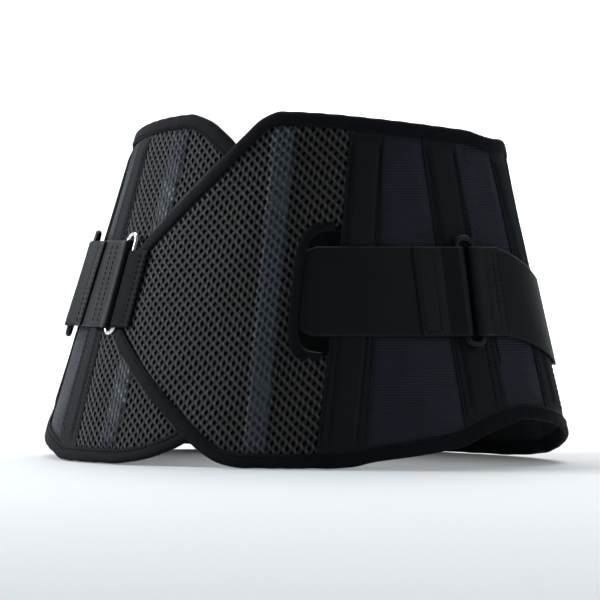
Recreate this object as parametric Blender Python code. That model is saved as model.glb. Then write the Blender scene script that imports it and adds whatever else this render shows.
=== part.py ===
"""Lumbar back brace with two crossing back panels, pull straps and a two-flap front closure.

Metres, +Z up, -Y is the wearer's back and +X the wearer's right.
The whole brace is wrapped round one flared oval. A place on it is an angle in degrees
round from the middle of the back, a height above the lower edge, and a distance out.
"""
import math

import bmesh
import bpy
from mathutils import Vector

# Driving dimensions of the body oval
HEIGHT = 0.219
BACK_RADIUS = 0.137
SIDE_RADIUS = 0.040
BACK_ARC = 60.0
FRONT_ARC = 50.0
BACK_FLARE = 0.0665
FRONT_FLARE = 0.024
FLARE_CHANGES = (60.0, 165.0)

# Edges of a half: each drop or rise in metres, then the angles it starts and ends at
TOP_DROP, TOP_DROP_ENDS = 0.0165, (5.0, 90.0)
FLAP_DROP, FLAP_DROP_ENDS = 0.0145, (100.0, 160.0)
HIP_RISE, HIP_RISE_ENDS, HIP_FALL_ENDS = 0.0285, (33.0, 61.0), (62.0, 150.0)
SHOULDER_BLEND = 0.012
EDGE_CELLS = 64

# Thicknesses and layers, as distances out from the body
PANEL = 0.0025
MESH_IN, MESH_OUT = 0.0006, 0.0018
TAPE = 0.0030
STAY_IN, STAY_OUT = 0.0003, 0.0013
GROOVE = 0.0016
BINDING_IN, BINDING_OUT = -0.0005, 0.0030
POCKET_IN, POCKET_OUT = -0.0008, -0.0003
STRAP = 0.0014
STRAP_OUT = 0.0046
FOLDED_OUT = 0.0063
GAP = 0.0003
GAP_ANGLE = 0.14

# Where the pieces lie round each half, in degrees from the spine on its own side
TIP = {1: -23.0, -1: -16.7}
TIP_LOW, TIP_HIGH = 0.0745, 0.1345
UPPER_SHOULDER, LOWER_SHOULDER = 8.0, 6.5
BACK_STAY_ANGLE = 13.2
SEAM_TAPE = (29.4, 38.3)
SIDE_TAPE = (46.6, 55.6)
FRONT_TAPE = (78.0, 102.3)
FLAP_HINGE = 103.0
FLAP_START = 103.7
FLAP_END = {1: 203.0, -1: 181.6}
SEAM_DRIFT, SIDE_DRIFT = 6.2, 4.0
SEAM_DRIFT_STARTS = 16.0
SIDE_DRIFT_ENDS = (60.0, 72.0)
LEFT_SHIFT = 6.5
LEFT_SHIFT_STARTS, LEFT_SHIFT_ENDS = (0.0, 13.0), (56.0, 76.0)

# Widths in metres
BINDING = 0.009
BACK_STAY_WIDTH, TAPE_STAY_WIDTH = 0.012, 0.010
POCKET_WIDTH = 0.020
STAY_MARGIN, POCKET_MARGIN = 0.012, 0.008
CORNER = 0.018

# Hook and loop patches of the closure
HOOK_PATCH, HOOK_PATCH_HALF = (182.0, 196.0), 0.055
LOOP_PATCH, LOOP_PATCH_HALF = (159.5, 176.5), 0.062
PATCH_HEIGHT, PATCH = 0.088, 0.0010
STRAP_HOOK_START, HOOK_MARGIN, HOOK_MARGIN_ANGLE = 126.0, 0.008, 0.8

# The raised side of each overlap
BACK_RAISE, BACK_RAISE_ENDS = 0.0042, (24.4, 29.4)
FRONT_RAISE, FRONT_RAISE_ENDS = 0.0058, (163.0, 173.0)

# Straps, rings and the slot
STRAP_HEIGHT = {1: 0.107, -1: 0.1115}
STRAP_HALF = 0.0275
STRAP_RISE = (17.7, 22.9)
STRAP_ROOT, STRAP_ROOT_SHARE = 17.2, 0.8
STRAP_DROP, STRAP_DROP_ENDS = 0.020, (58.0, 110.0)
PULL_DROP, PULL_DROP_ENDS = 0.006, (110.0, 150.0)
PULL_TAPER, PULL_TAPER_ENDS = 0.18, (100.0, 140.0)
BAR_CLEARANCE = 3.2
LONG_TAIL, SHORT_TAIL = 0.028, 0.026
SLOT_WIDE, SLOT_HALF = 0.0207, 0.037
SLOT_BINDING, SLOT_ROUND = 0.006, 0.5
SLOT_BINDING_TURN = math.radians(88.5)
RING_ANGLE, RING_WIDE, RING_TALL = 53.5, 0.0105, 0.0650
RING_WIRE = 0.00225
RING_CORNER_LIMIT = 0.011
RING_OUT = STRAP_OUT + STRAP / 2 + GAP + RING_WIRE
TIP_RING_ANGLE, TIP_RING_WIDE, TIP_RING_TALL = 26.0, 0.0095, 0.062
TIP_RING_WIRE = 0.0015
TIP_RING_OUT = STRAP_OUT + STRAP / 2 + GAP + TIP_RING_WIRE
LOOP = 0.0010
LOOP_TAIL = ((0.006, 0.0006), (0.010, 0.0), (0.017, 0.0))
WRAP = 0.4
PULL_END, TAB_START, TAB_END = 145.7, 146.3, 153.5
TAB_HALF, TAB_THICK = 0.020, 0.0022

SIDES = ((1, "right"), (-1, "left"))


def smooth(value):
    """Smooth step from 0 to 1."""
    value = min(max(value, 0.0), 1.0)
    return value * value * (3.0 - 2.0 * value)


def ramp(value, ends):
    """Smooth step from 0 to 1 between two values."""
    return smooth((value - ends[0]) / (ends[1] - ends[0]))


def mix(first, last, share):
    return first + (last - first) * share


# ---------------------------------------------------------------- the body oval
def arc_at(angle):
    """Centre and radius of the oval's arc at this angle, along the upper edge."""
    turn = abs(angle) if abs(angle) <= 180.0 else 360.0 - abs(angle)
    back, front = math.radians(BACK_ARC), math.radians(FRONT_ARC)
    side_x = (BACK_RADIUS - SIDE_RADIUS) * math.sin(back)
    side_y = -(BACK_RADIUS - SIDE_RADIUS) * math.cos(back)
    if turn <= BACK_ARC:
        return 0.0, 0.0, BACK_RADIUS
    if turn <= 180.0 - FRONT_ARC:
        return math.copysign(side_x, math.sin(math.radians(angle))), side_y, SIDE_RADIUS
    reach = side_x / math.sin(front)
    return 0.0, side_y - reach * math.cos(front), SIDE_RADIUS + reach


def flare_at(angle, height):
    """How far the body stands out below its upper edge; straight from top to bottom."""
    turn = abs(angle) if abs(angle) <= 180.0 else 360.0 - abs(angle)
    depth = mix(BACK_FLARE, FRONT_FLARE, ramp(turn, FLARE_CHANGES))
    return depth * (1.0 - height / HEIGHT)


def middle_y():
    """Middle of the brace from back to front, which is the origin's place along Y."""
    _, front_y, front_radius = arc_at(180.0)
    front = front_y + front_radius + FRONT_FLARE + FRONT_RAISE + BINDING_OUT
    heel = math.radians(LOWER_SHOULDER + 2.0)
    back = -(BACK_RADIUS + BACK_FLARE + BACK_RAISE + BINDING_OUT) * math.cos(heel)
    return (front + back) / 2.0


MIDDLE_Y = middle_y()


def at(side, angle, height, out, along=0.0):
    """World place on a half, whose seam tape leans in to the spine, going down, and its side tape out.

    The left half is worn a little further round to the left than the right half is to the right.
    """
    past_seam = ramp(angle, (SEAM_TAPE[1], SIDE_TAPE[0]))
    seam = ramp(angle, (SEAM_DRIFT_STARTS, SEAM_TAPE[0])) * (1.0 - past_seam)
    hip = past_seam * (1.0 - ramp(angle, SIDE_DRIFT_ENDS))
    drift = (SIDE_DRIFT * hip - SEAM_DRIFT * seam) * (1.0 - height / HEIGHT)
    if side < 0:
        drift += LEFT_SHIFT * ramp(angle, LEFT_SHIFT_STARTS) * (1.0 - ramp(angle, LEFT_SHIFT_ENDS))
    return upright(side, angle + drift, height, out, along)


def upright(side, angle, height, out, along=0.0):
    """World place at an own-side angle; along is a further distance round, in metres."""
    _, _, radius = arc_at(angle)
    radius += flare_at(angle, height)
    angle += math.degrees(along / (radius + out))
    x, y, radius = arc_at(angle)
    radius += flare_at(angle, height) + out
    turn = math.radians(angle)
    return Vector((side * (x + radius * math.sin(turn)), y - radius * math.cos(turn) - MIDDLE_Y, height))


# ---------------------------------------------------------------- outlines
def soft_min(first, second):
    """The smaller of two heights, rounded where they meet."""
    share = max(SHOULDER_BLEND - abs(first - second), 0.0) / SHOULDER_BLEND
    return min(first, second) - share * share * SHOULDER_BLEND / 4.0


def top_edge(angle):
    level = HEIGHT - TOP_DROP * ramp(angle, TOP_DROP_ENDS) - FLAP_DROP * ramp(angle, FLAP_DROP_ENDS)
    slope = (HEIGHT - TIP_HIGH) / (UPPER_SHOULDER - TIP[1])
    return soft_min(level, HEIGHT - (UPPER_SHOULDER - angle) * slope)


def bottom_edge(angle):
    hip = HIP_RISE * ramp(angle, HIP_RISE_ENDS) * (1.0 - ramp(angle, HIP_FALL_ENDS))
    slope = TIP_LOW / (LOWER_SHOULDER - TIP[1])
    return -soft_min(-hip, -(LOWER_SHOULDER - angle) * slope)


def inset(edge, angle, width):
    """Height that a strip of this width takes along a sloping edge."""
    step = 0.5
    _, _, radius = arc_at(angle)
    radius += flare_at(angle, edge(angle))
    rise = edge(angle + step) - edge(angle - step)
    return width * math.hypot(1.0, rise / (radius * math.radians(2.0 * step)))


def raised(side, angle):
    """Extra distance out where the right half lies over the left one."""
    if side < 0:
        return 0.0
    back = BACK_RAISE * (1.0 - ramp(angle, BACK_RAISE_ENDS))
    return back + FRONT_RAISE * ramp(angle, FRONT_RAISE_ENDS)


def strap_height(side, angle):
    """Middle height of a strap: level on the back, lower along the side and front."""
    drop = STRAP_DROP * ramp(angle, STRAP_DROP_ENDS) + PULL_DROP * ramp(angle, PULL_DROP_ENDS)
    return STRAP_HEIGHT[side] - drop


# ---------------------------------------------------------------- materials and objects
def material(name, colour, roughness, metallic=0.0):
    made = bpy.data.materials.get(name)
    if made is None:
        made = bpy.data.materials.new(name)
        made.use_nodes = True
        shader = made.node_tree.nodes["Principled BSDF"]
        shader.inputs["Base Color"].default_value = (*colour, 1.0)
        shader.inputs["Roughness"].default_value = roughness
        shader.inputs["Metallic"].default_value = metallic
        made.diffuse_color = (*colour, 1.0)
    return made


LOOKS = {
    "mesh_fabric": ((0.060, 0.056, 0.058), 0.85, 0.0),
    "power_mesh": ((0.075, 0.078, 0.110), 0.80, 0.0),
    "webbing": ((0.040, 0.043, 0.046), 0.70, 0.0),
    "binding_tape": ((0.016, 0.017, 0.019), 0.75, 0.0),
    "strap_fabric": ((0.055, 0.066, 0.068), 0.55, 0.0),
    "hook_fabric": ((0.020, 0.020, 0.022), 0.90, 0.0),
    "black_plastic": ((0.012, 0.012, 0.013), 0.35, 0.0),
    "ring_metal": ((0.780, 0.790, 0.800), 0.25, 1.0),
    "stay_metal": ((0.560, 0.570, 0.580), 0.35, 1.0),
}


def finish(obj, look):
    obj.data.materials.clear()
    obj.data.materials.append(material(look, *LOOKS[look]))
    return obj


def new_object(name, data, collection="back_brace"):
    obj = bpy.data.objects.new(name, data)
    bpy.data.collections[collection].objects.link(obj)
    return obj


def slab(name, across, along, place, collection="back_brace"):
    """A closed sheet of across by along cells; place(u, v, w) gives each corner, w 0 in and 1 out."""
    shape = bmesh.new()
    bmesh.ops.create_grid(shape, x_segments=across, y_segments=along, size=0.5)
    outer = bmesh.ops.extrude_face_region(shape, geom=shape.faces[:])["geom"]
    for corner in (item for item in outer if isinstance(item, bmesh.types.BMVert)):
        corner.co.z = 1.0
    for corner in shape.verts:
        corner.co = place(corner.co.x + 0.5, corner.co.y + 0.5, corner.co.z)
    bmesh.ops.recalc_face_normals(shape, faces=shape.faces)
    if shape.calc_volume(signed=True) < 0.0:
        bmesh.ops.reverse_faces(shape, faces=shape.faces)
    mesh = bpy.data.meshes.new(name)
    shape.to_mesh(mesh)
    shape.free()
    return new_object(name, mesh, collection)


def cut(obj, tool):
    """Take the tool's shape out of an object."""
    tool.hide_render = True
    tool.display_type = "WIRE"
    modifier = obj.modifiers.new("cut_" + tool.name, "BOOLEAN")
    modifier.operation = "DIFFERENCE"
    modifier.object = tool


def band(name, side, path, low, high, thick, look, along=1):
    """A strip of cloth along path, whose points are (angle, along, out) on its middle line."""
    def line(index):
        angle, shift, out = path[index]
        radius = BACK_RADIUS + flare_at(angle, STRAP_HEIGHT[side])
        return math.radians(angle) * radius + shift, out

    def normal(index):
        before, after = line(max(index - 1, 0)), line(min(index + 1, len(path) - 1))
        way = Vector((after[0] - before[0], after[1] - before[1])).normalized()
        return -way.y, way.x

    def place(u, v, w):
        index = round(u * (len(path) - 1))
        angle, shift, out = path[index]
        sideways, outward = normal(index)
        offset = thick * (w - 0.5)
        height = mix(low(angle), high(angle), v)
        return upright(side, angle, height, out + outward * offset, shift + sideways * offset)

    return finish(slab(name, len(path) - 1, along, place), look)


def turn_round(angle, shift, radius, out, forward):
    """A little over half a turn round a bar, from its inner side to its outer side."""
    steps = 9
    path = []
    for step in range(steps + 1):
        turn = (math.pi + WRAP) * step / steps
        path.append((angle, shift + forward * radius * math.sin(turn), out - radius * math.cos(turn)))
    return path


def run(first, last, out, step=2.6):
    """Level points between two angles."""
    count = max(1, round(abs(last - first) / step))
    return [(mix(first, last, index / count), 0.0, out) for index in range(count + 1)]


# ---------------------------------------------------------------- pieces of one half
def strip_between(name, side, first, last, inner, outer, across, along, look):
    """A piece that fills the width from one angle to another, between the two bindings."""
    def place(u, v, w):
        angle = mix(first, last, u)
        low = bottom_edge(angle) + inset(bottom_edge, angle, BINDING) + GAP
        high = top_edge(angle) - inset(top_edge, angle, BINDING) - GAP
        return at(side, angle, mix(low, high, v), mix(inner, outer, w) + raised(side, angle))

    return finish(slab(name, across, along, place), look)


def edge_binding(name, side, edge, inward, across):
    """Binding folded over an edge of the half, from the tip to the flap hinge."""
    first, last = TIP[side], FRONT_TAPE[1]

    def place(u, v, w):
        angle = mix(first, last, u)
        height = edge(angle) + inward * inset(edge, angle, BINDING) * v
        return at(side, angle, height, mix(BINDING_IN, BINDING_OUT, w) + raised(side, angle))

    return finish(slab(name, across, 1, place), "binding_tape")


def stay(name, side, angle, width, layer, margin, collection="back_brace"):
    """A flat bar up the body at one angle, or the space that holds it."""
    low = bottom_edge(angle) + BINDING + margin
    high = top_edge(angle) - BINDING - margin

    def place(u, v, w):
        out = mix(*layer, w) + raised(side, angle)
        return at(side, angle, mix(low, high, v), out, width * (u - 0.5))

    return slab(name, 3, 3, place, collection)


def stayed(obj, side, word, angle, width):
    """Cut a stay's groove into the inner face of a piece, and put the stay in it."""
    space = width + 2.0 * GAP
    cut(obj, stay(word + "_groove", side, angle, space, (-PANEL, GROOVE), STAY_MARGIN - GAP, "cutters"))
    finish(stay(word, side, angle, width, (STAY_IN, STAY_OUT), STAY_MARGIN), "stay_metal")


def back_panel(side, word):
    panel = strip_between("back_panel_" + word, side, TIP[side], SEAM_TAPE[0] - GAP_ANGLE, 0.0, PANEL,
                          20, 8, "mesh_fabric")
    stayed(panel, side, "back_stay_" + word, BACK_STAY_ANGLE, BACK_STAY_WIDTH)
    layer = (POCKET_IN, POCKET_OUT)
    pocket = stay("back_stay_pocket_" + word, side, BACK_STAY_ANGLE, POCKET_WIDTH, layer, POCKET_MARGIN)
    finish(pocket, "webbing")
    return panel


def taped_stay(name, side, word, span, stay_name):
    count = max(3, round((span[1] - span[0]) / 4.0))
    tape = strip_between(name + "_" + word, side, span[0], span[1], 0.0, TAPE, count, 3, "webbing")
    stayed(tape, side, stay_name + "_" + word, (span[0] + span[1]) / 2.0, TAPE_STAY_WIDTH)


def side_pieces(side, word):
    taped_stay("seam_tape", side, word, SEAM_TAPE, "seam_stay")
    taped_stay("side_tape", side, word, SIDE_TAPE, "side_stay")
    taped_stay("front_tape", side, word, FRONT_TAPE, "front_stay")
    gaps = (("side_mesh_", SEAM_TAPE[1], SIDE_TAPE[0]), ("flank_mesh_", SIDE_TAPE[1], FRONT_TAPE[0]))
    for name, start, end in gaps:
        first, last = start + GAP_ANGLE, end - GAP_ANGLE
        strip_between(name + word, side, first, last, MESH_IN, MESH_OUT, 5, 3, "power_mesh")


# ---------------------------------------------------------------- slot of the right panel
def slot(panel):
    """D-shaped slot with its flat side at the seam tape, and its binding."""
    def oval(turn, reach):
        across = abs(math.cos(turn)) ** SLOT_ROUND
        up = math.copysign(abs(math.sin(turn)) ** SLOT_ROUND, turn)
        return -(SLOT_WIDE + reach) * across, STRAP_HEIGHT[1] + (SLOT_HALF + reach) * up

    def cutter_place(u, v, w):
        turn = math.pi * (u - 0.5)
        along, height = oval(turn, SLOT_BINDING + GAP)
        along = mix(PANEL, along, v)
        out = mix(-PANEL, BACK_RAISE + 2.0 * PANEL, w)
        return at(1, SEAM_TAPE[0], height, out, along)

    def binding_place(u, v, w):
        turn = SLOT_BINDING_TURN * (2.0 * u - 1.0)
        along, height = oval(turn, SLOT_BINDING * v)
        radius = BACK_RADIUS + flare_at(SEAM_TAPE[0], height)
        angle = SEAM_TAPE[0] + math.degrees(along / radius)
        return at(1, SEAM_TAPE[0], height, mix(BINDING_IN, BINDING_OUT, w) + raised(1, angle), along)

    cut(panel, slab("slot_cut", 20, 1, cutter_place, "cutters"))
    finish(slab("slot_binding", 22, 1, binding_place), "binding_tape")


# ---------------------------------------------------------------- flaps
def flap_pieces(side, word):
    """A front flap: its panel with two round corners, and the binding round its free edge."""
    radius = arc_at(180.0)[2] + FRONT_FLARE / 2.0
    corner_angle = FLAP_END[side] - math.degrees(CORNER / radius)
    inner_corner = CORNER - BINDING - GAP
    straight, turning = 20, 5

    def panel_place(u, v, w):
        cell = round(u * (straight + turning))
        angle = mix(FLAP_START, corner_angle, min(cell / straight, 1.0))
        turn = math.pi / 2.0 * max(cell - straight, 0) / turning
        along = inner_corner * math.sin(turn)
        round_off = inner_corner * (1.0 - math.cos(turn))
        low = bottom_edge(angle) + BINDING + GAP + round_off
        high = top_edge(angle) - BINDING - GAP - round_off
        return at(side, angle, mix(low, high, v), mix(0.0, PANEL, w) + raised(side, angle), along)

    finish(slab("front_panel_" + word, straight + turning, 3, panel_place), "mesh_fabric")
    outline = flap_outline(corner_angle)

    def binding_place(u, v, w):
        angle, height, along, sideways, upward = outline[round(u * (len(outline) - 1))]
        out = mix(BINDING_IN, BINDING_OUT, w) + raised(side, angle)
        return at(side, angle, height + upward * BINDING * v, out, along + sideways * BINDING * v)

    finish(slab("flap_binding_" + word, len(outline) - 1, 1, binding_place), "binding_tape")


def flap_outline(corner_angle):
    """Points round the free edge of a flap: angle, height, distance along, and the inward direction."""
    steps, turns = 20, 7
    edge = [mix(FLAP_START, corner_angle, index / steps) for index in range(steps + 1)]
    points = [(angle, top_edge(angle), 0.0, 0.0, -1.0) for angle in edge]
    quarter = [math.pi / 2.0 * index / turns for index in range(turns + 1)]
    high, low = top_edge(corner_angle) - CORNER, bottom_edge(corner_angle) + CORNER
    for turn in quarter[1:]:
        across, rise = math.sin(turn), math.cos(turn)
        points.append((corner_angle, high + CORNER * rise, CORNER * across, -across, -rise))
    for turn in quarter[:-1]:
        across, rise = math.cos(turn), -math.sin(turn)
        points.append((corner_angle, low + CORNER * rise, CORNER * across, -across, -rise))
    points += [(angle, bottom_edge(angle), 0.0, 0.0, 1.0) for angle in reversed(edge)]
    return points


def closure():
    """Hook patch inside the right flap and loop patch on the left one."""
    def patch(name, side, span, layer, half_height, look):
        def place(u, v, w):
            height = PATCH_HEIGHT + half_height * (2.0 * v - 1.0)
            return at(side, mix(*span, u), height, mix(*layer, w))
        finish(slab(name, 10, 1, place), look)

    inside = (FRONT_RAISE - PATCH, FRONT_RAISE - GAP)
    patch("hook_patch_right", 1, HOOK_PATCH, inside, HOOK_PATCH_HALF, "hook_fabric")
    outside = (PANEL + GAP, PANEL + PATCH)
    patch("loop_patch_left", -1, LOOP_PATCH, outside, LOOP_PATCH_HALF, "strap_fabric")


# ---------------------------------------------------------------- rings, loops and straps
def wire_ring(name, side, angle, size, out, wire, look):
    """A closed wire rectangle with round corners, lying along the body."""
    wide, tall = size
    corner = min(wide, RING_CORNER_LIMIT) * 0.45
    points = []
    for quarter in range(4):
        east = 1 if quarter in (0, 3) else -1
        north = 1 if quarter in (0, 1) else -1
        for index in range(5):
            turn = math.radians(90.0 * quarter + 22.5 * index)
            shift = east * (wide / 2.0 - corner) + corner * math.cos(turn)
            rise = north * (tall / 2.0 - corner) + corner * math.sin(turn)
            points.append(upright(side, angle, STRAP_HEIGHT[side] + rise, out, shift))
    curve = bpy.data.curves.new(name, "CURVE")
    curve.dimensions = "3D"
    curve.bevel_depth = wire
    curve.bevel_resolution = 2
    spline = curve.splines.new("POLY")
    spline.points.add(len(points) - 1)
    for spot, place in zip(spline.points, points):
        spot.co = (*place, 1.0)
    spline.use_cyclic_u = True
    return finish(new_object(name, curve), look)


def ring_bars():
    """Shift of the side ring's rear and front bars from its middle angle."""
    return -RING_WIDE / 2.0, RING_WIDE / 2.0


def folded_end(angle, shift, out, radius, forward, tail):
    """Path round a bar and back over itself, ending in a sewn tail."""
    landing, flat, count = 0.009, 0.012, 3
    path = turn_round(angle, shift, radius, out, forward)
    path.append((angle, shift - forward * landing, FOLDED_OUT + GAP))
    for index in range(count + 1):
        path.append((angle, shift - forward * mix(flat, tail, index / count), FOLDED_OUT))
    return path


def cross_strap(side, word):
    """Strap from the opposite panel's tip to the side ring's rear bar, folded round the bar."""
    rear, _ = ring_bars()
    turn = RING_WIRE + GAP + STRAP / 2.0
    end = folded_end(RING_ANGLE, rear, RING_OUT, turn, 1, LONG_TAIL)
    if side > 0:
        path = slot_rise() + run(STRAP_RISE[1] + BAR_CLEARANCE, RING_ANGLE - BAR_CLEARANCE, STRAP_OUT)
    else:
        turn_tip = TIP_RING_WIRE + GAP + STRAP / 2.0
        first = folded_end(TIP_RING_ANGLE, TIP_RING_WIDE / 2.0, TIP_RING_OUT, turn_tip, -1, SHORT_TAIL)
        path = first[::-1] + run(TIP_RING_ANGLE + BAR_CLEARANCE, RING_ANGLE - BAR_CLEARANCE, STRAP_OUT)

    def half_width(angle):
        narrowed = mix(STRAP_ROOT_SHARE, 1.0, ramp(angle, (STRAP_ROOT, STRAP_RISE[1])))
        return STRAP_HALF * (narrowed if side > 0 else 1.0)

    band("cross_strap_" + word, side, path + end, lambda a: STRAP_HEIGHT[side] - half_width(a),
         lambda a: STRAP_HEIGHT[side] + half_width(a), STRAP, "strap_fabric")


def slot_rise():
    """Path of the right strap from under the right panel, up through the slot."""
    inner = STRAP / 2.0 + GAP
    path = [(STRAP_ROOT, 0.0, inner)]
    for index in range(5):
        share = index / 4.0
        path.append((mix(*STRAP_RISE, share), 0.0, mix(inner, STRAP_OUT, smooth(share))))
    return path


def pull_strap(side, word):
    """Strap from the side ring's front bar, along the side to its tab on the front."""
    _, front = ring_bars()
    turn = RING_WIRE + GAP + STRAP / 2.0
    start = folded_end(RING_ANGLE, front, RING_OUT, turn, -1, SHORT_TAIL)
    path = start[::-1] + run(RING_ANGLE + BAR_CLEARANCE, PULL_END, STRAP_OUT)
    band("pull_strap_" + word, side, path, lambda a: strap_height(side, a) - STRAP_HALF * taper(a),
         lambda a: strap_height(side, a) + STRAP_HALF * taper(a), STRAP, "strap_fabric")

    def hook_place(u, v, w):
        angle = mix(STRAP_HOOK_START, PULL_END - HOOK_MARGIN_ANGLE, u)
        height = strap_height(side, angle) + (STRAP_HALF - HOOK_MARGIN) * taper(angle) * (2.0 * v - 1.0)
        return at(side, angle, height, mix(PANEL + GAP, STRAP_OUT - STRAP / 2.0 - GAP, w))

    finish(slab("strap_hook_" + word, 8, 1, hook_place), "hook_fabric")


def pull_tab(side, word):
    """Tab with a round end, sewn to the end of the pull strap."""
    def place(u, v, w):
        share = mix(u, smooth(u), 0.5)
        angle = mix(TAB_START, TAB_END, share)
        past_middle = max(share - 0.5, 0.0) / 0.51
        half_height = TAB_HALF * math.sqrt(1.0 - past_middle * past_middle)
        height = strap_height(side, angle) + half_height * (2.0 * v - 1.0)
        return at(side, angle, height, STRAP_OUT + TAB_THICK * (w - 0.5))

    finish(slab("pull_tab_" + word, 8, 2, place), "webbing")


def taper(angle):
    """The pull strap narrows a little towards its end."""
    return 1.0 - PULL_TAPER * ramp(angle, PULL_TAPER_ENDS)


def tip_ring():
    """Light ring at the right panel's tip, on the left side of the back, and its cloth loop."""
    size = (TIP_RING_WIDE, TIP_RING_TALL)
    wire_ring("tip_ring", -1, TIP_RING_ANGLE, size, TIP_RING_OUT, TIP_RING_WIRE, "ring_metal")
    bar = -TIP_RING_WIDE / 2.0
    turn = TIP_RING_WIRE + GAP + LOOP / 2.0
    inner = TIP_RING_OUT - turn
    outer = BACK_RAISE + BINDING_OUT + GAP + LOOP / 2.0
    edge = math.radians(-TIP[1] - TIP_RING_ANGLE) * (BACK_RADIUS + BACK_FLARE / 2.0)
    path = [(TIP_RING_ANGLE, edge + 2.0 * GAP, inner)]
    path += turn_round(TIP_RING_ANGLE, bar, turn, TIP_RING_OUT, 1)
    for back, lift in LOOP_TAIL:
        path.append((TIP_RING_ANGLE, bar - back, outer + lift))
    low, high = STRAP_HEIGHT[-1] - STRAP_HALF, TIP_HIGH - 0.002
    band("tip_loop", -1, path, lambda a: low, lambda a: high, LOOP, "binding_tape")


# ---------------------------------------------------------------- moving groups
def axis_empty(name, parent, foot, head):
    """An empty on a joint's axis, with its own Z along the axis."""
    empty = bpy.data.objects.new(name, None)
    empty.empty_display_size = 0.02
    bpy.data.collections["back_brace"].objects.link(empty)
    empty.rotation_euler = (head - foot).to_track_quat("Z", "Y").to_euler()
    empty.location = (foot + head) / 2.0
    bpy.context.view_layer.update()
    adopt(empty, parent)
    return empty


def adopt(obj, parent):
    """Parent an object without moving it."""
    if parent is None:
        return
    obj.parent = parent
    obj.matrix_parent_inverse = parent.matrix_world.inverted()
    bpy.context.view_layer.update()


def carry(names, empty):
    """Parent every named piece to an empty."""
    for name in names:
        adopt(bpy.data.objects[name], empty)


def half_names(word):
    plain = ("back_panel_", "upper_binding_", "lower_binding_", "back_stay_", "back_stay_pocket_",
             "seam_tape_", "seam_stay_", "side_mesh_", "side_tape_", "side_stay_", "flank_mesh_",
             "front_tape_", "front_stay_")
    return [name + word for name in plain]


def bar_ends(side, shift):
    """Foot and head of a side ring's bar."""
    low, high = STRAP_HEIGHT[side] - RING_TALL / 2.0, STRAP_HEIGHT[side] + RING_TALL / 2.0
    foot = upright(side, RING_ANGLE, low, RING_OUT, shift)
    return foot, upright(side, RING_ANGLE, high, RING_OUT, shift)


def assemble():
    """Parent each moving group to an empty on its axis."""
    spine = Vector((0.0, -MIDDLE_Y, 0.0))
    left = axis_empty("left_half_axis", None, spine, spine + Vector((0.0, 0.0, HEIGHT)))
    right = axis_empty("right_half_axis", left, spine, spine + Vector((0.0, 0.0, HEIGHT)))
    halves = {1: right, -1: left}
    holders = {1: left, -1: right}
    carry(half_names("left") + ["cross_strap_right"], left)
    carry(half_names("right") + ["slot_binding", "tip_ring", "tip_loop", "cross_strap_left"], right)
    for side, word in SIDES:
        out = BINDING_OUT + GAP
        foot = at(side, FLAP_HINGE, bottom_edge(FLAP_HINGE), out)
        head = at(side, FLAP_HINGE, top_edge(FLAP_HINGE), out)
        flap = axis_empty("flap_axis_" + word, halves[side], foot, head)
        patch = "hook_patch_right" if side > 0 else "loop_patch_left"
        carry(["front_panel_" + word, "flap_binding_" + word, patch], flap)
        rear, front = ring_bars()
        ring = axis_empty("ring_axis_" + word, holders[side], *bar_ends(side, rear))
        carry(["side_ring_" + word], ring)
        strap = axis_empty("strap_axis_" + word, ring, *bar_ends(side, front))
        carry(["pull_strap_" + word, "strap_hook_" + word], strap)
        low = strap_height(side, TAB_START) - TAB_HALF
        tab = axis_empty("tab_axis_" + word, strap, at(side, TAB_START, low, STRAP_OUT),
                         at(side, TAB_START, low + 2.0 * TAB_HALF, STRAP_OUT))
        carry(["pull_tab_" + word], tab)


def clear_scene():
    for obj in list(bpy.data.objects):
        bpy.data.objects.remove(obj, do_unlink=True)
    for name in ("back_brace", "cutters"):
        old = bpy.data.collections.get(name)
        if old:
            bpy.data.collections.remove(old)
        bpy.context.scene.collection.children.link(bpy.data.collections.new(name))


def main():
    clear_scene()
    for side, word in SIDES:
        panel = back_panel(side, word)
        if side > 0:
            slot(panel)
        edge_binding("upper_binding_" + word, side, top_edge, -1, EDGE_CELLS)
        edge_binding("lower_binding_" + word, side, bottom_edge, 1, EDGE_CELLS)
        side_pieces(side, word)
        flap_pieces(side, word)
        size = (RING_WIDE, RING_TALL)
        wire_ring("side_ring_" + word, side, RING_ANGLE, size, RING_OUT, RING_WIRE, "black_plastic")
        cross_strap(side, word)
        pull_strap(side, word)
        pull_tab(side, word)
    closure()
    tip_ring()
    assemble()


main()
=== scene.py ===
"""Looks of the lumbar back brace: woven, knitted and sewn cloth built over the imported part.

A place on the brace is an angle in degrees from the middle of the back on its own side, a
height above the lower edge and a distance out from the body, all in metres and degrees.
"""

import math

import bpy
import numpy as np
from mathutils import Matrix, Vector


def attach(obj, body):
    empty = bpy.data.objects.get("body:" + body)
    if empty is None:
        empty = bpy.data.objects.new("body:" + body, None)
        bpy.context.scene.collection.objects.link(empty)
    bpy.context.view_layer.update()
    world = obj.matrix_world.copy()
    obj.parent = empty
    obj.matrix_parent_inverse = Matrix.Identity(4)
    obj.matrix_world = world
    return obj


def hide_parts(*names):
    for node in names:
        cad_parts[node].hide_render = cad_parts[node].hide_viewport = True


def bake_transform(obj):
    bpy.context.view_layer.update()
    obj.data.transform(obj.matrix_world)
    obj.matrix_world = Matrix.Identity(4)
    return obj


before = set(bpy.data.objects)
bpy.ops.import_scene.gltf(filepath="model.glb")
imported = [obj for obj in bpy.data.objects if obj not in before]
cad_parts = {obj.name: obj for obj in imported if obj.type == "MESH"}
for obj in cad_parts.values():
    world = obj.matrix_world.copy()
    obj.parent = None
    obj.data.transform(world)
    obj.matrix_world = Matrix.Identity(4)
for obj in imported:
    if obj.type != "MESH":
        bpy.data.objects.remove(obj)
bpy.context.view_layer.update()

# --- the brace's own dimensions
HEIGHT = 0.219
BACK_RADIUS, SIDE_RADIUS = 0.137, 0.040
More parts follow.
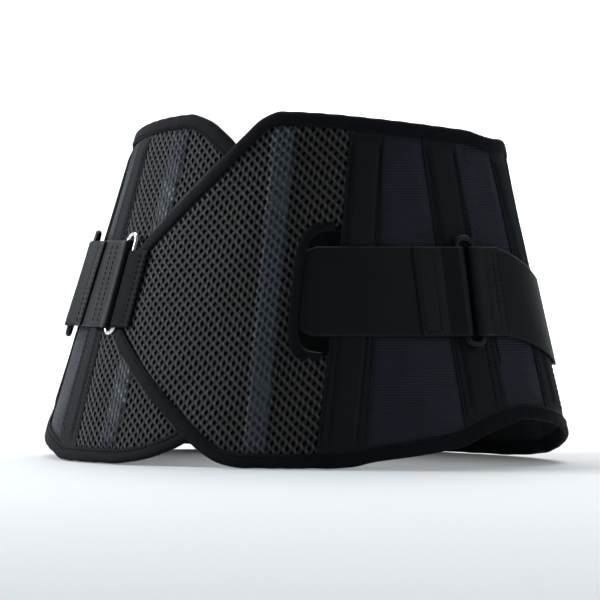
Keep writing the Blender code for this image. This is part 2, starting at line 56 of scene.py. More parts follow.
BACK_ARC, FRONT_ARC = 60.0, 50.0
BACK_FLARE, FRONT_FLARE, FLARE_CHANGES = 0.0665, 0.024, (60.0, 165.0)
MIDDLE_Y = -0.072457
TOP_DROP, TOP_DROP_ENDS = 0.0165, (5.0, 90.0)
FLAP_DROP, FLAP_DROP_ENDS = 0.0145, (100.0, 160.0)
HIP_RISE, HIP_RISE_ENDS, HIP_FALL_ENDS = 0.0285, (33.0, 61.0), (62.0, 150.0)
SHOULDER_BLEND = 0.012
TIP = {1: -23.0, -1: -16.7}
TIP_LOW, TIP_HIGH = 0.0745, 0.1345
UPPER_SHOULDER, LOWER_SHOULDER = 8.0, 6.5
BACK_STAY_ANGLE = 13.2
SEAM_TAPE, SIDE_TAPE, FRONT_TAPE = (29.4, 38.3), (46.6, 55.6), (78.0, 102.3)
FLAP_END = {1: 203.0, -1: 181.6}
SEAM_DRIFT, SIDE_DRIFT, SEAM_DRIFT_STARTS, SIDE_DRIFT_ENDS = 6.2, 4.0, 16.0, (60.0, 72.0)
LEFT_SHIFT, LEFT_SHIFT_STARTS, LEFT_SHIFT_ENDS = 6.5, (0.0, 13.0), (56.0, 76.0)
BINDING, CORNER = 0.009, 0.018
BACK_RAISE, BACK_RAISE_ENDS = 0.0042, (24.4, 29.4)
FRONT_RAISE, FRONT_RAISE_ENDS = 0.0058, (163.0, 173.0)
STRAP, STRAP_OUT, FOLDED_OUT, GAP = 0.0014, 0.0046, 0.0063, 0.0003
STRAP_HEIGHT, STRAP_HALF = {1: 0.107, -1: 0.1115}, 0.0275
STRAP_DROP, STRAP_DROP_ENDS = 0.020, (58.0, 110.0)
PULL_DROP, PULL_DROP_ENDS = 0.006, (110.0, 150.0)
PULL_TAPER, PULL_TAPER_ENDS = 0.18, (100.0, 140.0)
STRAP_RISE, STRAP_ROOT, BAR_CLEARANCE = (17.7, 22.9), 17.2, 3.2
SLOT_WIDE, SLOT_HALF, SLOT_BINDING, SLOT_ROUND = 0.0207, 0.037, 0.006, 0.5
RING_ANGLE, RING_WIDE, RING_TALL, RING_WIRE = 53.5, 0.0105, 0.0650, 0.00225
RING_OUT = STRAP_OUT + STRAP / 2 + GAP + RING_WIRE
TIP_RING_ANGLE, TIP_RING_WIDE, TIP_RING_TALL, TIP_RING_WIRE = 26.0, 0.0095, 0.062, 0.0015
TIP_RING_OUT = STRAP_OUT + STRAP / 2 + GAP + TIP_RING_WIRE
LOOP, WRAP = 0.0010, 0.4
LONG_TAIL, SHORT_TAIL = 0.028, 0.026
PULL_END, TAB_START, TAB_END, TAB_HALF = 145.7, 146.3, 153.5, 0.020
SIDES = ((1, "right"), (-1, "left"))
HALVES = {1: "right_half", -1: "left_half"}
FLAPS = {1: "right_flap", -1: "left_flap"}
HOLDERS = {1: "left_half", -1: "right_half"}

# Cloth details
WALE, KNOT = 0.0032, 0.0060
UNDER_BINDING = 0.0035
STAY_SEAM, EDGE_SEAM = 0.0086, 0.0022
POCKET_WIDE, PATCH_HEIGHT, HOOK_TALL = 0.020, 0.088, 0.034


def smooth(x):
    x = np.clip(x, 0.0, 1.0)
    return x * x * (3.0 - 2.0 * x)


def ramp(x, ends):
    return smooth((np.asarray(x, float) - ends[0]) / (ends[1] - ends[0]))


def mix(a, b, t):
    return a + (b - a) * t


def hump(x, middle, wide):
    return np.exp(-((x - middle) / wide) ** 2)


def sheet_shares(columns, rows):
    """Shares of a sheet's points: 0 to 1 round the body, and -1 to 1 up it."""
    return np.linspace(0.0, 1.0, columns)[:, None], np.linspace(-1.0, 1.0, rows)[None]


def grids(*values):
    """The values as arrays of one common shape."""
    return np.broadcast_arrays(*(np.asarray(value, float) for value in values))


# --- places on the body
def arc(angle):
    turn = np.where(np.abs(angle) <= 180.0, np.abs(angle), 360.0 - np.abs(angle))
    sign = np.sign(np.sin(np.radians(angle)))
    back, front = math.radians(BACK_ARC), math.radians(FRONT_ARC)
    side_x = (BACK_RADIUS - SIDE_RADIUS) * math.sin(back)
    side_y = -(BACK_RADIUS - SIDE_RADIUS) * math.cos(back)
    reach = side_x / math.sin(front)
    on_back, on_side = turn <= BACK_ARC, turn <= 180.0 - FRONT_ARC
    x = np.where(on_back, 0.0, np.where(on_side, sign * side_x, 0.0))
    y = np.where(on_back, 0.0, np.where(on_side, side_y, side_y - reach * math.cos(front)))
    r = np.where(on_back, BACK_RADIUS, np.where(on_side, SIDE_RADIUS, SIDE_RADIUS + reach))
    return x, y, r


def flare(angle, height):
    turn = np.where(np.abs(angle) <= 180.0, np.abs(angle), 360.0 - np.abs(angle))
    return mix(BACK_FLARE, FRONT_FLARE, ramp(turn, FLARE_CHANGES)) * (1.0 - height / HEIGHT)


def upright(side, angle, height, out, along=0.0):
    angle, height, out, along = grids(angle, height, out, along)
    radius = arc(angle)[2] + flare(angle, height)
    angle = angle + np.degrees(along / (radius + out))
    x, y, radius = arc(angle)
    radius = radius + flare(angle, height) + out
    turn = np.radians(angle)
    return np.stack([side * (x + radius * np.sin(turn)), y - radius * np.cos(turn) - MIDDLE_Y, height], -1)


def drift(side, angle, height):
    past_seam = ramp(angle, (SEAM_TAPE[1], SIDE_TAPE[0]))
    seam = ramp(angle, (SEAM_DRIFT_STARTS, SEAM_TAPE[0])) * (1.0 - past_seam)
    hip = past_seam * (1.0 - ramp(angle, SIDE_DRIFT_ENDS))
    worn = LEFT_SHIFT * ramp(angle, LEFT_SHIFT_STARTS) * (1.0 - ramp(angle, LEFT_SHIFT_ENDS))
    return (SIDE_DRIFT * hip - SEAM_DRIFT * seam) * (1.0 - height / HEIGHT) + (worn if side < 0 else 0.0)


def at(side, angle, height, out, along=0.0):
    return upright(side, angle + drift(side, angle, height), height, out, along)


def soft_min(a, b):
    share = np.maximum(SHOULDER_BLEND - np.abs(a - b), 0.0) / SHOULDER_BLEND
    return np.minimum(a, b) - share * share * SHOULDER_BLEND / 4.0


def top_edge(angle):
    level = HEIGHT - TOP_DROP * ramp(angle, TOP_DROP_ENDS) - FLAP_DROP * ramp(angle, FLAP_DROP_ENDS)
    slope = (HEIGHT - TIP_HIGH) / (UPPER_SHOULDER - TIP[1])
    return soft_min(level, HEIGHT - (UPPER_SHOULDER - angle) * slope)


def bottom_edge(angle):
    hip = HIP_RISE * ramp(angle, HIP_RISE_ENDS) * (1.0 - ramp(angle, HIP_FALL_ENDS))
    slope = TIP_LOW / (LOWER_SHOULDER - TIP[1])
    return -soft_min(-hip, -(LOWER_SHOULDER - angle) * slope)


def inset(edge, angle, width):
    radius = arc(angle)[2] + flare(angle, edge(angle))
    rise = edge(angle + 0.5) - edge(angle - 0.5)
    return width * np.hypot(1.0, rise / (radius * math.radians(1.0)))


def raised(side, angle):
    if side < 0:
        return np.zeros_like(np.asarray(angle, float))
    back = BACK_RAISE * (1.0 - ramp(angle, BACK_RAISE_ENDS))
    return back + FRONT_RAISE * ramp(angle, FRONT_RAISE_ENDS)


def strap_height(side, angle):
    drop = STRAP_DROP * ramp(angle, STRAP_DROP_ENDS) + PULL_DROP * ramp(angle, PULL_DROP_ENDS)
    return STRAP_HEIGHT[side] - drop


# --- meshes
def mesh_object(name, points, faces, uv, look):
    """A mesh from arrays: points (n, 3), faces (m, 4) and uv (n, 2) in metres."""
    mesh = bpy.data.meshes.new(name)
    points, faces = np.asarray(points, np.float32), np.asarray(faces, np.int32)
    mesh.vertices.add(len(points))
    mesh.vertices.foreach_set("co", points.ravel())
    mesh.loops.add(faces.size)
    mesh.loops.foreach_set("vertex_index", faces.ravel())
    mesh.polygons.add(len(faces))
    mesh.polygons.foreach_set("loop_start", np.arange(0, faces.size, faces.shape[1], dtype=np.int32))
    mesh.update(calc_edges=True)
    layer = mesh.uv_layers.new(name="Cloth")
    layer.data.foreach_set("uv", np.asarray(uv, np.float32)[faces.ravel()].ravel())
    mesh.polygons.foreach_set("use_smooth", np.full(len(faces), True))
    mesh.validate()
    mesh.materials.append(LOOKS[look])
    obj = bpy.data.objects.new(name, mesh)
    bpy.context.scene.collection.objects.link(obj)
    return obj


def grid_quads(rows, cols, keep=None, wrap=False):
    i, j = np.meshgrid(np.arange(rows - 1), np.arange(cols if wrap else cols - 1), indexing="ij")
    k = (j + 1) % cols
    quads = np.stack([i * cols + j, (i + 1) * cols + j, (i + 1) * cols + k, i * cols + k], -1)
    quads = quads.reshape(-1, 4)
    return quads if keep is None else quads[keep.ravel()]


def closed(points_out, points_in, uv, look, name, keep=None):
    """A thin closed cloth from two matching grids of points (rows, cols, 3)."""
    rows, cols = points_out.shape[:2]
    n = rows * cols
    outer = grid_quads(rows, cols, keep)
    points = np.concatenate([points_out.reshape(-1, 3), points_in.reshape(-1, 3)])
    a, b = outer.ravel(), np.roll(outer, -1, 1).ravel()
    way, back = a.astype(np.int64) * n + b, b.astype(np.int64) * n + a
    rim = ~np.isin(way, back)
    sides = np.stack([b[rim], a[rim], a[rim] + n, b[rim] + n], -1)
    faces = np.concatenate([outer, outer[:, ::-1] + n, sides])
    v = points[faces]
    volume = (v[:, 0] * np.cross(v[:, 1], v[:, 2])).sum() + (v[:, 0] * np.cross(v[:, 2], v[:, 3])).sum()
    if volume < 0.0:
        faces = faces[:, ::-1]
    used, faces = np.unique(faces, return_inverse=True)
    uv = np.concatenate([uv.reshape(-1, 2)] * 2)[used]
    return mesh_object(name, points[used], faces.reshape(-1, 4), uv, look)


def cloth(name, look, side, angle, height, outer, inner, along=0.0, uv=None, keep=None):
    """A thin closed cloth on the body between two distances out."""
    uv = cloth_uv(angle, height) if uv is None else uv
    faces = (at(side, angle, height, out, along) for out in (outer, inner))
    return closed(*faces, uv, look, name, keep)


def cut_size(points):
    """Mean length of a grid of points along each of its two ways, fine relief left out."""
    points = points[:: max(1, points.shape[0] // 24)][:, :: max(1, points.shape[1] // 40)]
    one = np.linalg.norm(np.diff(points, axis=0), axis=-1).sum(0).mean()
    two = np.linalg.norm(np.diff(points, axis=1), axis=-1).sum(1).mean()
    return float(one), float(two)


def way_across(side, angle, height):
    """Distance along the body from the first column of a grid, in metres."""
    points = at(side, angle, height, 0.0015)
    steps = np.linalg.norm(np.diff(points, axis=0), axis=-1)
    return np.concatenate([np.zeros((1, steps.shape[1])), np.cumsum(steps, axis=0)])


def unit(v):
    return v / np.maximum(np.linalg.norm(v, axis=-1, keepdims=True), 1e-12)


def distance_along(line):
    """Distance of each point of a line from its first point."""
    return np.concatenate([[0.0], np.cumsum(np.linalg.norm(np.diff(line, axis=0), axis=1))])


def tube_parts(path, normal, wide, tall, sides=6, wrap=False):
    """Points, quads and uv of an open or closed-up tube: wide across and tall along the normal."""
    path, normal = np.asarray(path, float), unit(np.asarray(normal, float))
    tangent = unit(np.roll(path, -1, 0) - np.roll(path, 1, 0) if wrap else np.gradient(path, axis=0))
    across = unit(np.cross(tangent, normal))
    normal = np.cross(across, tangent)
    turn = 2.0 * math.pi * np.arange(sides) / sides
    wide, tall = np.broadcast_to(wide, len(path)), np.broadcast_to(tall, len(path))
    ring = (across[:, None] * (np.cos(turn)[None, :, None] * wide[:, None, None] / 2.0)
            + normal[:, None] * (np.sin(turn)[None, :, None] * tall[:, None, None] / 2.0))
    points = (path[:, None] + ring).reshape(-1, 3)
    quads = grid_quads(len(path) + 1 if wrap else len(path), sides, wrap=True) % len(points)
    uv = np.stack(np.broadcast_arrays(np.arange(sides)[None] * 0.0005, distance_along(path)[:, None]), -1)
    return points, quads, uv.reshape(-1, 2)


class Gather:
    """Collects many small parts into one mesh."""

    def __init__(self):
        self.points, self.faces, self.uv, self.marks, self.count = [], [], [], [], 0

    def add(self, points, faces, uv, marks=None):
        self.points.append(points)
        self.marks.append(np.zeros(len(points)) if marks is None else marks)
        self.faces.append(np.asarray(faces) + self.count)
        self.uv.append(uv)
        self.count += len(points)

    def build(self, name, look):
        return mesh_object(name, np.concatenate(self.points), np.concatenate(self.faces),
                           np.concatenate(self.uv), look)


# --- materials
SHEEN_COLOUR = (0.7, 0.8, 0.9, 1.0)


def new_material(name):
    made = bpy.data.materials.new(name)
    made.use_nodes = True
    tree = made.node_tree
    return made, tree, tree.nodes["Principled BSDF"]


def settle(tree, made, inputs):
    """Give a node's inputs plain values or the outputs of other nodes."""
    for key, value in inputs.items():
        if isinstance(value, bpy.types.NodeSocket):
            tree.links.new(value, made.inputs[key])
        else:
            made.inputs[key].default_value = value
    return made


def node(tree, kind, inputs, **modes):
    made = tree.nodes.new(kind)
    for key, value in modes.items():
        setattr(made, key, value)
    return settle(tree, made, inputs)


def cloth_place(tree):
    """Place on the cloth in millimetres."""
    uv = node(tree, "ShaderNodeUVMap", {}, uv_map="Cloth").outputs[0]
    return node(tree, "ShaderNodeMapping", {"Vector": uv, "Scale": (1000.0, 1000.0, 1.0)}).outputs[0]


def noise(tree, place, scale, detail=2.0, rough=0.5):
    return node(tree, "ShaderNodeTexNoise", {"Vector": place, "Scale": scale, "Detail": detail,
                                             "Roughness": rough}).outputs["Fac"]


def wave(tree, place, scale, direction):
    return node(tree, "ShaderNodeTexWave", {"Vector": place, "Scale": scale, "Distortion": 0.4},
                bands_direction=direction).outputs["Fac"]


def plus(tree, a, b):
    return node(tree, "ShaderNodeMath", {0: a, 1: b}, operation="ADD").outputs[0]


def times(tree, a, b):
    return node(tree, "ShaderNodeMath", {0: a, 1: b}, operation="MULTIPLY").outputs[0]


def relief(tree, height, strength, depth):
    return node(tree, "ShaderNodeBump", {"Height": height, "Strength": strength, "Distance": depth}).outputs[0]


def colour_between(tree, share, dark, light):
    mixed = node(tree, "ShaderNodeMix", {"Factor": share}, data_type="RGBA")
    return settle(tree, mixed, {"A": (*dark, 1.0), "B": (*light, 1.0)}).outputs["Result"]


def fabric(name, dark, light, spots=0.35, rough=0.8, sheen=0.0, bands=(), bump=0.2, depth=0.00012, fuzz=1.6,
           specular=0.25):
    """Cloth whose colour varies between dark and light, with woven bands and fuzz as fine relief."""
    made, tree, shader = new_material(name)
    place = cloth_place(tree)
    large = noise(tree, place, 0.045, 3.0)
    fine = noise(tree, place, fuzz, 3.0, 0.65)
    share = plus(tree, times(tree, large, spots), times(tree, fine, 1.0 - spots))
    height = fine
    for scale, direction, strength in bands:
        lines = wave(tree, place, scale, direction)
        share = plus(tree, share, times(tree, plus(tree, lines, -0.5), strength))
        height = plus(tree, height, times(tree, lines, 1.5 * strength))
    stretched = node(tree, "ShaderNodeMapRange", {"Value": share, "From Min": 0.25, "From Max": 0.75})
    settle(tree, shader, {"Base Color": colour_between(tree, stretched.outputs[0], dark, light),
                          "Normal": relief(tree, height, bump, depth), "Roughness": rough,
                          "Specular IOR Level": specular, "Sheen Weight": sheen, "Sheen Roughness": 0.4,
                          "Sheen Tint": SHEEN_COLOUR})
    return made


def tint(made, attribute, colour, strength):
    """Moves a cloth's colour towards another one where a share kept in its points says so."""
    tree = made.node_tree
    shader = tree.nodes["Principled BSDF"]
    before = shader.inputs["Base Color"].links[0].from_socket
    share = node(tree, "ShaderNodeAttribute", {}, attribute_name=attribute).outputs["Fac"]
    mixed = node(tree, "ShaderNodeMix", {"Factor": times(tree, share, strength)}, data_type="RGBA")
    settle(tree, mixed, {"A": before, "B": (*colour, 1.0)})
    settle(tree, shader, {"Base Color": mixed.outputs["Result"]})


def hard(name, colour, rough, metallic, streak):
    """Moulded plastic or metal with faint wear."""
    made, tree, shader = new_material(name)
    place = node(tree, "ShaderNodeTexCoord", {}).outputs["Object"]
    worn = noise(tree, place, 240.0, 4.0, 0.6)
    dark = tuple(0.7 * c for c in colour)
    ends = {"Value": worn, "To Min": rough - streak, "To Max": rough + streak}
    spread = node(tree, "ShaderNodeMapRange", ends).outputs[0]
    settle(tree, shader, {"Base Color": colour_between(tree, worn, dark, colour), "Roughness": spread,
                          "Normal": relief(tree, worn, 0.12, 0.0001), "Metallic": metallic,
                          "Specular IOR Level": 0.5 if metallic else 0.2})
    return made


LOOKS = {
    "yarn": fabric("yarn", (0.002, 0.0021, 0.0023), (0.016, 0.016, 0.0165), rough=0.42, sheen=0.02, fuzz=1.3,
                   specular=0.32, spots=0.2),
    "lining": fabric("lining", (0.0010, 0.0010, 0.0013), (0.004, 0.004, 0.005), bands=((0.55, "X", 0.5),),
                     specular=0.05),
    "binding": fabric("binding", (0.0015, 0.0018, 0.0028), (0.006, 0.0075, 0.011), bands=((0.5, "Y", 0.45),),
                      sheen=0.015, rough=0.7, specular=0.08),
    "webbing": fabric("webbing", (0.003, 0.004, 0.005), (0.010, 0.0135, 0.0165), rough=0.68, sheen=0.03,
                      bands=((0.62, "X", 0.5), (0.5, "Y", 0.25)), specular=0.12),
    "power_mesh": fabric("power_mesh", (0.0015, 0.002, 0.004), (0.020, 0.024, 0.038), rough=0.6, sheen=0.05,
                         bands=((0.33, "Y", 0.5), (0.7, "X", 0.35)), specular=0.15),
    "strap": fabric("strap", (0.0022, 0.0032, 0.0036), (0.0066, 0.0096, 0.0104), rough=0.55, sheen=0.04,
                    fuzz=1.1, bump=0.3, specular=0.15),
    "plush": fabric("plush", (0.008, 0.009, 0.010), (0.020, 0.022, 0.024), rough=0.9, sheen=0.10, fuzz=0.8,
                    bump=0.6, depth=0.0003, specular=0.08),
    "hook": fabric("hook", (0.003, 0.003, 0.0035), (0.010, 0.010, 0.011), rough=0.6,
                   bands=((0.6, "X", 0.6), (0.6, "Y", 0.6)), specular=0.2),
    "thread": fabric("thread", (0.002, 0.0022, 0.0026), (0.006, 0.0065, 0.0075), rough=0.7, fuzz=3.0,
                     specular=0.1),
    "plastic": hard("plastic", (0.002, 0.002, 0.0025), 0.42, 0.0, 0.08),
    "metal": hard("metal", (0.80, 0.81, 0.82), 0.24, 1.0, 0.08),
    "stay": hard("stay", (0.55, 0.56, 0.57), 0.35, 1.0, 0.10),
}
# Painted highlight: a bluish colour in the lining's holes over the back stay's ridge.
tint(LOOKS["lining"], "StayHighlight", (0.020, 0.030, 0.044), 0.9)
# Painted glints: pale specks on the lining over the left stay near its top and bottom, faint on the right.
tint(LOOKS["lining"], "PaintedGlint", (0.50, 0.54, 0.58), 0.9)
tint(LOOKS["yarn"], "Lit", (0.105, 0.105, 0.102), 0.62)
# Painted highlight: the yarn turns bluish and brighter along the ridge over the back stay.
tint(LOOKS["yarn"], "StayHighlight", (0.060, 0.082, 0.105), 0.35)


# --- sewing
THREADS = {}


STITCH_LONG, STITCH_STEP, THREAD_WIDE, THREAD_TALL = 0.0024, 0.0034, 0.00055, 0.0005


def stitch(body, point, way, normal):
    """One stitch lying on the cloth, its ends going down into it."""
    ends = STITCH_LONG * np.array([-0.5, -0.28, 0.0, 0.28, 0.5])
    lift = THREAD_TALL * np.array([-0.9, 0.35, 0.55, 0.35, -0.9])
    path = point + way * ends[:, None] + normal * lift[:, None]
    wide = THREAD_WIDE * np.array([0.4, 1.0, 1.0, 1.0, 0.4])
    parts = tube_parts(path, np.repeat(normal[None], 5, 0), wide, THREAD_TALL, sides=5)
    THREADS.setdefault(body, Gather()).add(*parts)


def stitch_row(body, line, normals):
    """Stitches end to end along a line of points."""
    normals, long = unit(normals), distance_along(line)
    count = int(long[-1] / STITCH_STEP)

    def between(values, place):
        return np.array([np.interp(place, long, values[:, k]) for k in range(3)])

    for index in range(count):
        middle, near = (index + 0.5) * long[-1] / count, 0.3 * STITCH_STEP
        way = unit(between(line, middle + near) - between(line, middle - near))
        stitch(body, between(line, middle), way, unit(between(normals, middle)))


def surface_row(body, side, angles, heights, outs, alongs=0.0, put=at):
    """A stitch row given by places on the body."""
    line = put(side, *grids(angles, heights, outs, alongs))
    stitch_row(body, line, put(side, *grids(angles, heights, outs + 0.002, alongs)) - line)


# --- cloth of the panels
def puff(distance, reach=0.005):
    """0 where a seam presses the cloth flat, 1 away from it."""
    return smooth(np.asarray(distance) / reach)


def edge_distance(angle, height):
    """Distance in from the inner side of the binding."""
    low = bottom_edge(angle) + inset(bottom_edge, angle, BINDING)
    high = top_edge(angle) - inset(top_edge, angle, BINDING)
    slope_low = inset(bottom_edge, angle, 1.0)
    slope_high = inset(top_edge, angle, 1.0)
    return np.minimum((height - low) / slope_low, (high - height) / slope_high)


def slot_reach(side, angle, height):
    """How far outside the slot of the right panel a place is, in metres; below 0 is inside it."""
    if side < 0:
        return np.full(np.broadcast(angle, height).shape, 1.0)
    radius = BACK_RADIUS + flare(angle, height)
    seam = SEAM_TAPE[0] + drift(side, SEAM_TAPE[0], height)
    along = np.radians(seam - angle - drift(side, angle, height)) * radius
    up = np.abs(height - STRAP_HEIGHT[1])
    power = 2.0 / SLOT_ROUND
    best = np.full(along.shape, 1.0)
    for reach in np.arange(-0.020, 0.016, 0.0005)[::-1]:
        wide, half = SLOT_WIDE + reach, SLOT_HALF + reach
        if wide <= 0.001:
            break
        inside = (np.maximum(along, 0.0) / wide) ** power + (up / half) ** power <= 1.0
        best = np.where(inside, reach, best)
    return best


def wrinkle(side, angle, height):
    """Slow unevenness of worn cloth."""
    a = np.radians(angle)
    bend = np.sin(9.0 * a + 31.0 * height + side) * np.sin(47.0 * height - 4.0 * a + 2.0 * side)
    return 0.00035 * (bend + 0.5 * np.sin(23.0 * a - 60.0 * height + 1.3))


def own_angle(side, true, height):
    """Angle on the flat half of a place that is worn at the given true angle."""
    own = true
    for _ in range(16):
        own = own + 0.6 * (true - drift(side, own, height) - own)
    return own


def panel_out(side, angle, height):
    """Outer side of the back panel's net, with its ridge over the stay."""
    radius = BACK_RADIUS + flare(angle, height)
    off = np.radians(angle - BACK_STAY_ANGLE) * radius
    ridge = smooth((0.0085 - np.abs(off)) / 0.0035)
    press = puff(edge_distance(angle, height)) * puff((SEAM_TAPE[0] - angle) * 0.0030)
    press = press * puff(slot_reach(side, angle, height) - 0.0055)
    bulge = 0.0005 + 0.0013 * ridge + wrinkle(side, angle, height)
    return raised(side, angle) + 0.0017 + press * bulge


def keep_share(made, name, values):
    share = made.data.attributes.new(name, "FLOAT", "POINT")
    share.data.foreach_set("value", np.asarray(values, np.float32))


def mark_stay_highlights(made, side, painted_glint=False):
    """Keep with each point of the cloth how far it lies over the back stay, as the mask of a painted bluish
    highlight along the ridge, and where painted glints go.
    """
    place = np.array([v.co[:] for v in made.data.vertices])
    true = np.degrees(np.arctan2(side * place[:, 0], arc(0.0)[1] - place[:, 1] - MIDDLE_Y))
    own = own_angle(side, true, place[:, 2])
    off = np.abs(np.radians(own - BACK_STAY_ANGLE)) * (BACK_RADIUS + flare(0.0, place[:, 2]))
    over = smooth((0.0072 - off) / 0.0020)
    keep_share(made, "StayHighlight", over)
    if painted_glint:
        # Painted glints: patchy bright specks over the stay near the top and bottom, strong on the left half
        # and faint on the right.
        low, high = (hump(place[:, 2], middle, 0.020) for middle in (0.045, 0.165))
        patchy = 0.6 + 0.4 * np.sin(420.0 * place[:, 2] + 260.0 * place[:, 0])
        keep_share(made, "PaintedGlint", over * np.maximum(low, high) * patchy * (1.0 if side < 0 else 0.12))


def net(side, word):
    """Warp-knitted net: zigzag wales of three strands that meet at their knots and leave diamond holes."""
    cords = Gather()
    heights = np.arange(0.0015, HEIGHT, KNOT / 8.0)
    first, last = TIP[side], SEAM_TAPE[0] + 0.9
    start = math.radians(first) * (BACK_RADIUS + BACK_FLARE)
    end = math.radians(last + (LEFT_SHIFT if side < 0 else 0.0)) * (BACK_RADIUS + BACK_FLARE)
    phase = heights / KNOT
    for wale in range(int((end - start) / WALE) + 1):
        sign = 1.0 if wale % 2 else -1.0
        zig = 2.0 * np.abs(2.0 * (phase - np.floor(phase + 0.5))) - 1.0
        zig = np.clip(1.25 * zig, -1.0, 1.0)
        for strand in (-1.0, 0.0, 1.0):
            s = start + WALE * (wale + 0.5) + sign * 0.00090 * zig + strand * 0.00066
            s = s + 0.00010 * np.sin(9.0 * phase + 2.0 * wale + strand)
            true = np.degrees(s / (BACK_RADIUS + flare(0.0, heights)))
            own = own_angle(side, true, heights)
            keep = (own > first + 0.15) & (own < last) & (edge_distance(own, heights) > -0.0035)
            keep &= slot_reach(side, own, heights) > 0.003
            lean = -np.tanh(4.0 * np.sin(2.0 * np.pi * phase)) * sign * side
            weave = 0.00012 * np.cos(4.0 * np.pi * phase + 2.1 * strand) + 0.00020 * lean
            line = upright(side, true, heights, panel_out(side, own, heights) - 0.0004 + weave)
            up = upright(side, true, heights, panel_out(side, own, heights) + 0.0016 + weave) - line
            breaks = np.flatnonzero(np.diff(np.concatenate([[0], keep.astype(int), [0]])))
            for a, b in zip(breaks[::2], breaks[1::2]):
                if b - a >= 4:
                    swell = 0.00074 + 0.00012 * np.cos(8.0 * np.pi * phase[a:b] + strand)
                    points, faces, uv = tube_parts(line[a:b], up[a:b], swell, 0.00062)
                    uneven = 0.55 + 0.45 * np.sin(5.3 * np.arange(a, b) + 3.1 * wale + 2.0 * strand)
                    lit = (0.5 + 0.5 * lean[a:b]) * uneven
                    marks = np.repeat(lit, len(points) // (b - a))
                    cords.add(points, faces, uv + np.array([0.01 * wale, 0.002 * strand]), marks)
    made = cords.build("net_" + word, "yarn")
    keep_share(made, "Lit", np.concatenate(cords.marks))
    # Mask for the yarn's painted bluish highlight over the stay.
    mark_stay_highlights(made, side)
    return made


def panel_grid(angle, rows, under=UNDER_BINDING, off=0.0):
    """A piece's angles, lowest, highest and all heights; it runs a little way under its bindings."""
    angle = angle * np.ones(rows + 1)[None]
    low = bottom_edge(angle) + inset(bottom_edge, angle, BINDING - under) + off
    high = top_edge(angle) - inset(top_edge, angle, BINDING - under) - off
    return angle, low, high, mix(low, high, np.linspace(0.0, 1.0, rows + 1)[None])


def cloth_uv(angle, height):
    return np.stack([np.radians(angle) * (BACK_RADIUS + 0.5 * BACK_FLARE), height], -1)


def lining(side, word):
    """Dark inner layer of the back panel."""
    first, last = TIP[side] + 0.1, SEAM_TAPE[0] + 0.9
    columns = int((last - first) / 0.55)
    angle, _, _, height = panel_grid(np.linspace(first, last, columns + 1)[:, None], 111)
    outer = panel_out(side, angle, height) - 0.0010
    inner = raised(side, angle) + 0.0002
    mid_a, mid_h = (angle[:-1, :-1] + angle[1:, 1:]) / 2.0, (height[:-1, :-1] + height[1:, 1:]) / 2.0
    keep = slot_reach(side, mid_a, mid_h) > 0.0025
    inner = np.minimum(inner, outer - 0.0003)
    made = cloth("lining_" + word, "lining", side, angle, height, outer, inner, keep=keep)
    # Masks for the lining's painted bluish highlight and painted glints over the stay.
    mark_stay_highlights(made, side, painted_glint=True)
    return made


# --- folded bindings
def fold_profile(width):
    """Outer and inner line of a U-folded tape, as distances in from the edge and out from the body."""
    flat = np.linspace(1.0, 0.0, 7)
    round_it = np.radians(np.linspace(90.0, 270.0, 9))
    middle, big, small = 0.00125, 0.00175, 0.00105
    lines = []
    for radius in (big, small):
        front_v = mix(big, width, flat)
        arc_v = big - radius * np.sin(round_it - math.pi / 2.0)
        v = np.concatenate([front_v[:-1], arc_v, front_v[::-1][1:]])
        out = np.concatenate([np.full(6, middle + radius), middle + radius * np.cos(round_it - math.pi / 2.0),
                              np.full(6, middle - radius)])
        lines.append((v, out))
    return lines


def folded(name, body, side, angle, height, along, sideways, upward, width=BINDING, groove=0.0072,
           plump=1.0, inside=True, base=None):
    """Binding tape folded over an edge whose points run along the first axis, and its length."""
    (v_out, out_out), (v_in, out_in) = fold_profile(width)
    columns = grids(angle, height, along, sideways, upward)
    angle, height, along, sideways, upward = (column[:, None] for column in columns)
    base = raised(side, angle) if base is None else base
    step = np.arange(len(angle))[:, None]
    pucker = 0.00010 * np.sin(2.1 * step) + 0.00006 * np.sin(0.83 * step + 1.0)
    front = smooth((out_out - 0.0012) / 0.0012)
    pressed = 0.00028 * hump(v_out, groove, 0.0007) + 0.0005 * smooth((v_out - width + 0.0012) / 0.0012)
    full = 0.00035 * np.sin(np.pi * np.clip(v_out / groove, 0.0, 1.0))
    plump = np.broadcast_to(plump, len(angle))[:, None]
    outs = out_out + front * (plump * (full + pucker) - pressed)
    edge = np.where(v_out < 0.002, 0.00012 * np.sin(0.9 * step + 0.5), 0.0)

    def place(inward, out):
        return at(side, angle, height + upward * inward, out + base, along + sideways * inward)

    points = place(v_out + edge, outs)
    inner = place(v_in, out_in + front * (plump * full - 0.6 * pressed))
    long, across = distance_along(points[:, 0]), distance_along(np.stack([v_out, out_out], -1))
    uv = np.stack(np.broadcast_arrays(long[:, None], across[None]), -1)
    made = closed(points, inner, uv, "binding", name)
    shown = np.flatnonzero(plump[:, 0] > 0.5)
    for out, flip in ((0.0031, 1.0), (-0.0006, -1.0))[: 2 if inside else 1]:
        line = place(groove, out)[shown, 0]
        stitch_row(body, line, place(groove, out + 0.002 * flip)[shown, 0] - line)
    return made, float(long[-1])


def edge_tape(name, body, side, edge, inward):
    """Binding over a half's edge; it is pressed thin where the left half runs under the right one."""
    angle = np.arange(TIP[side], FRONT_TAPE[1] + 0.001, (FRONT_TAPE[1] - TIP[side]) / 170.0)
    up = inward * inset(edge, angle, 1.0)
    plump = 1.0 if side > 0 else smooth((angle + 8.0) / 6.0)
    made, long = folded(name, body, side, angle, edge(angle), 0.0, 0.0, up, plump=plump)
    return made


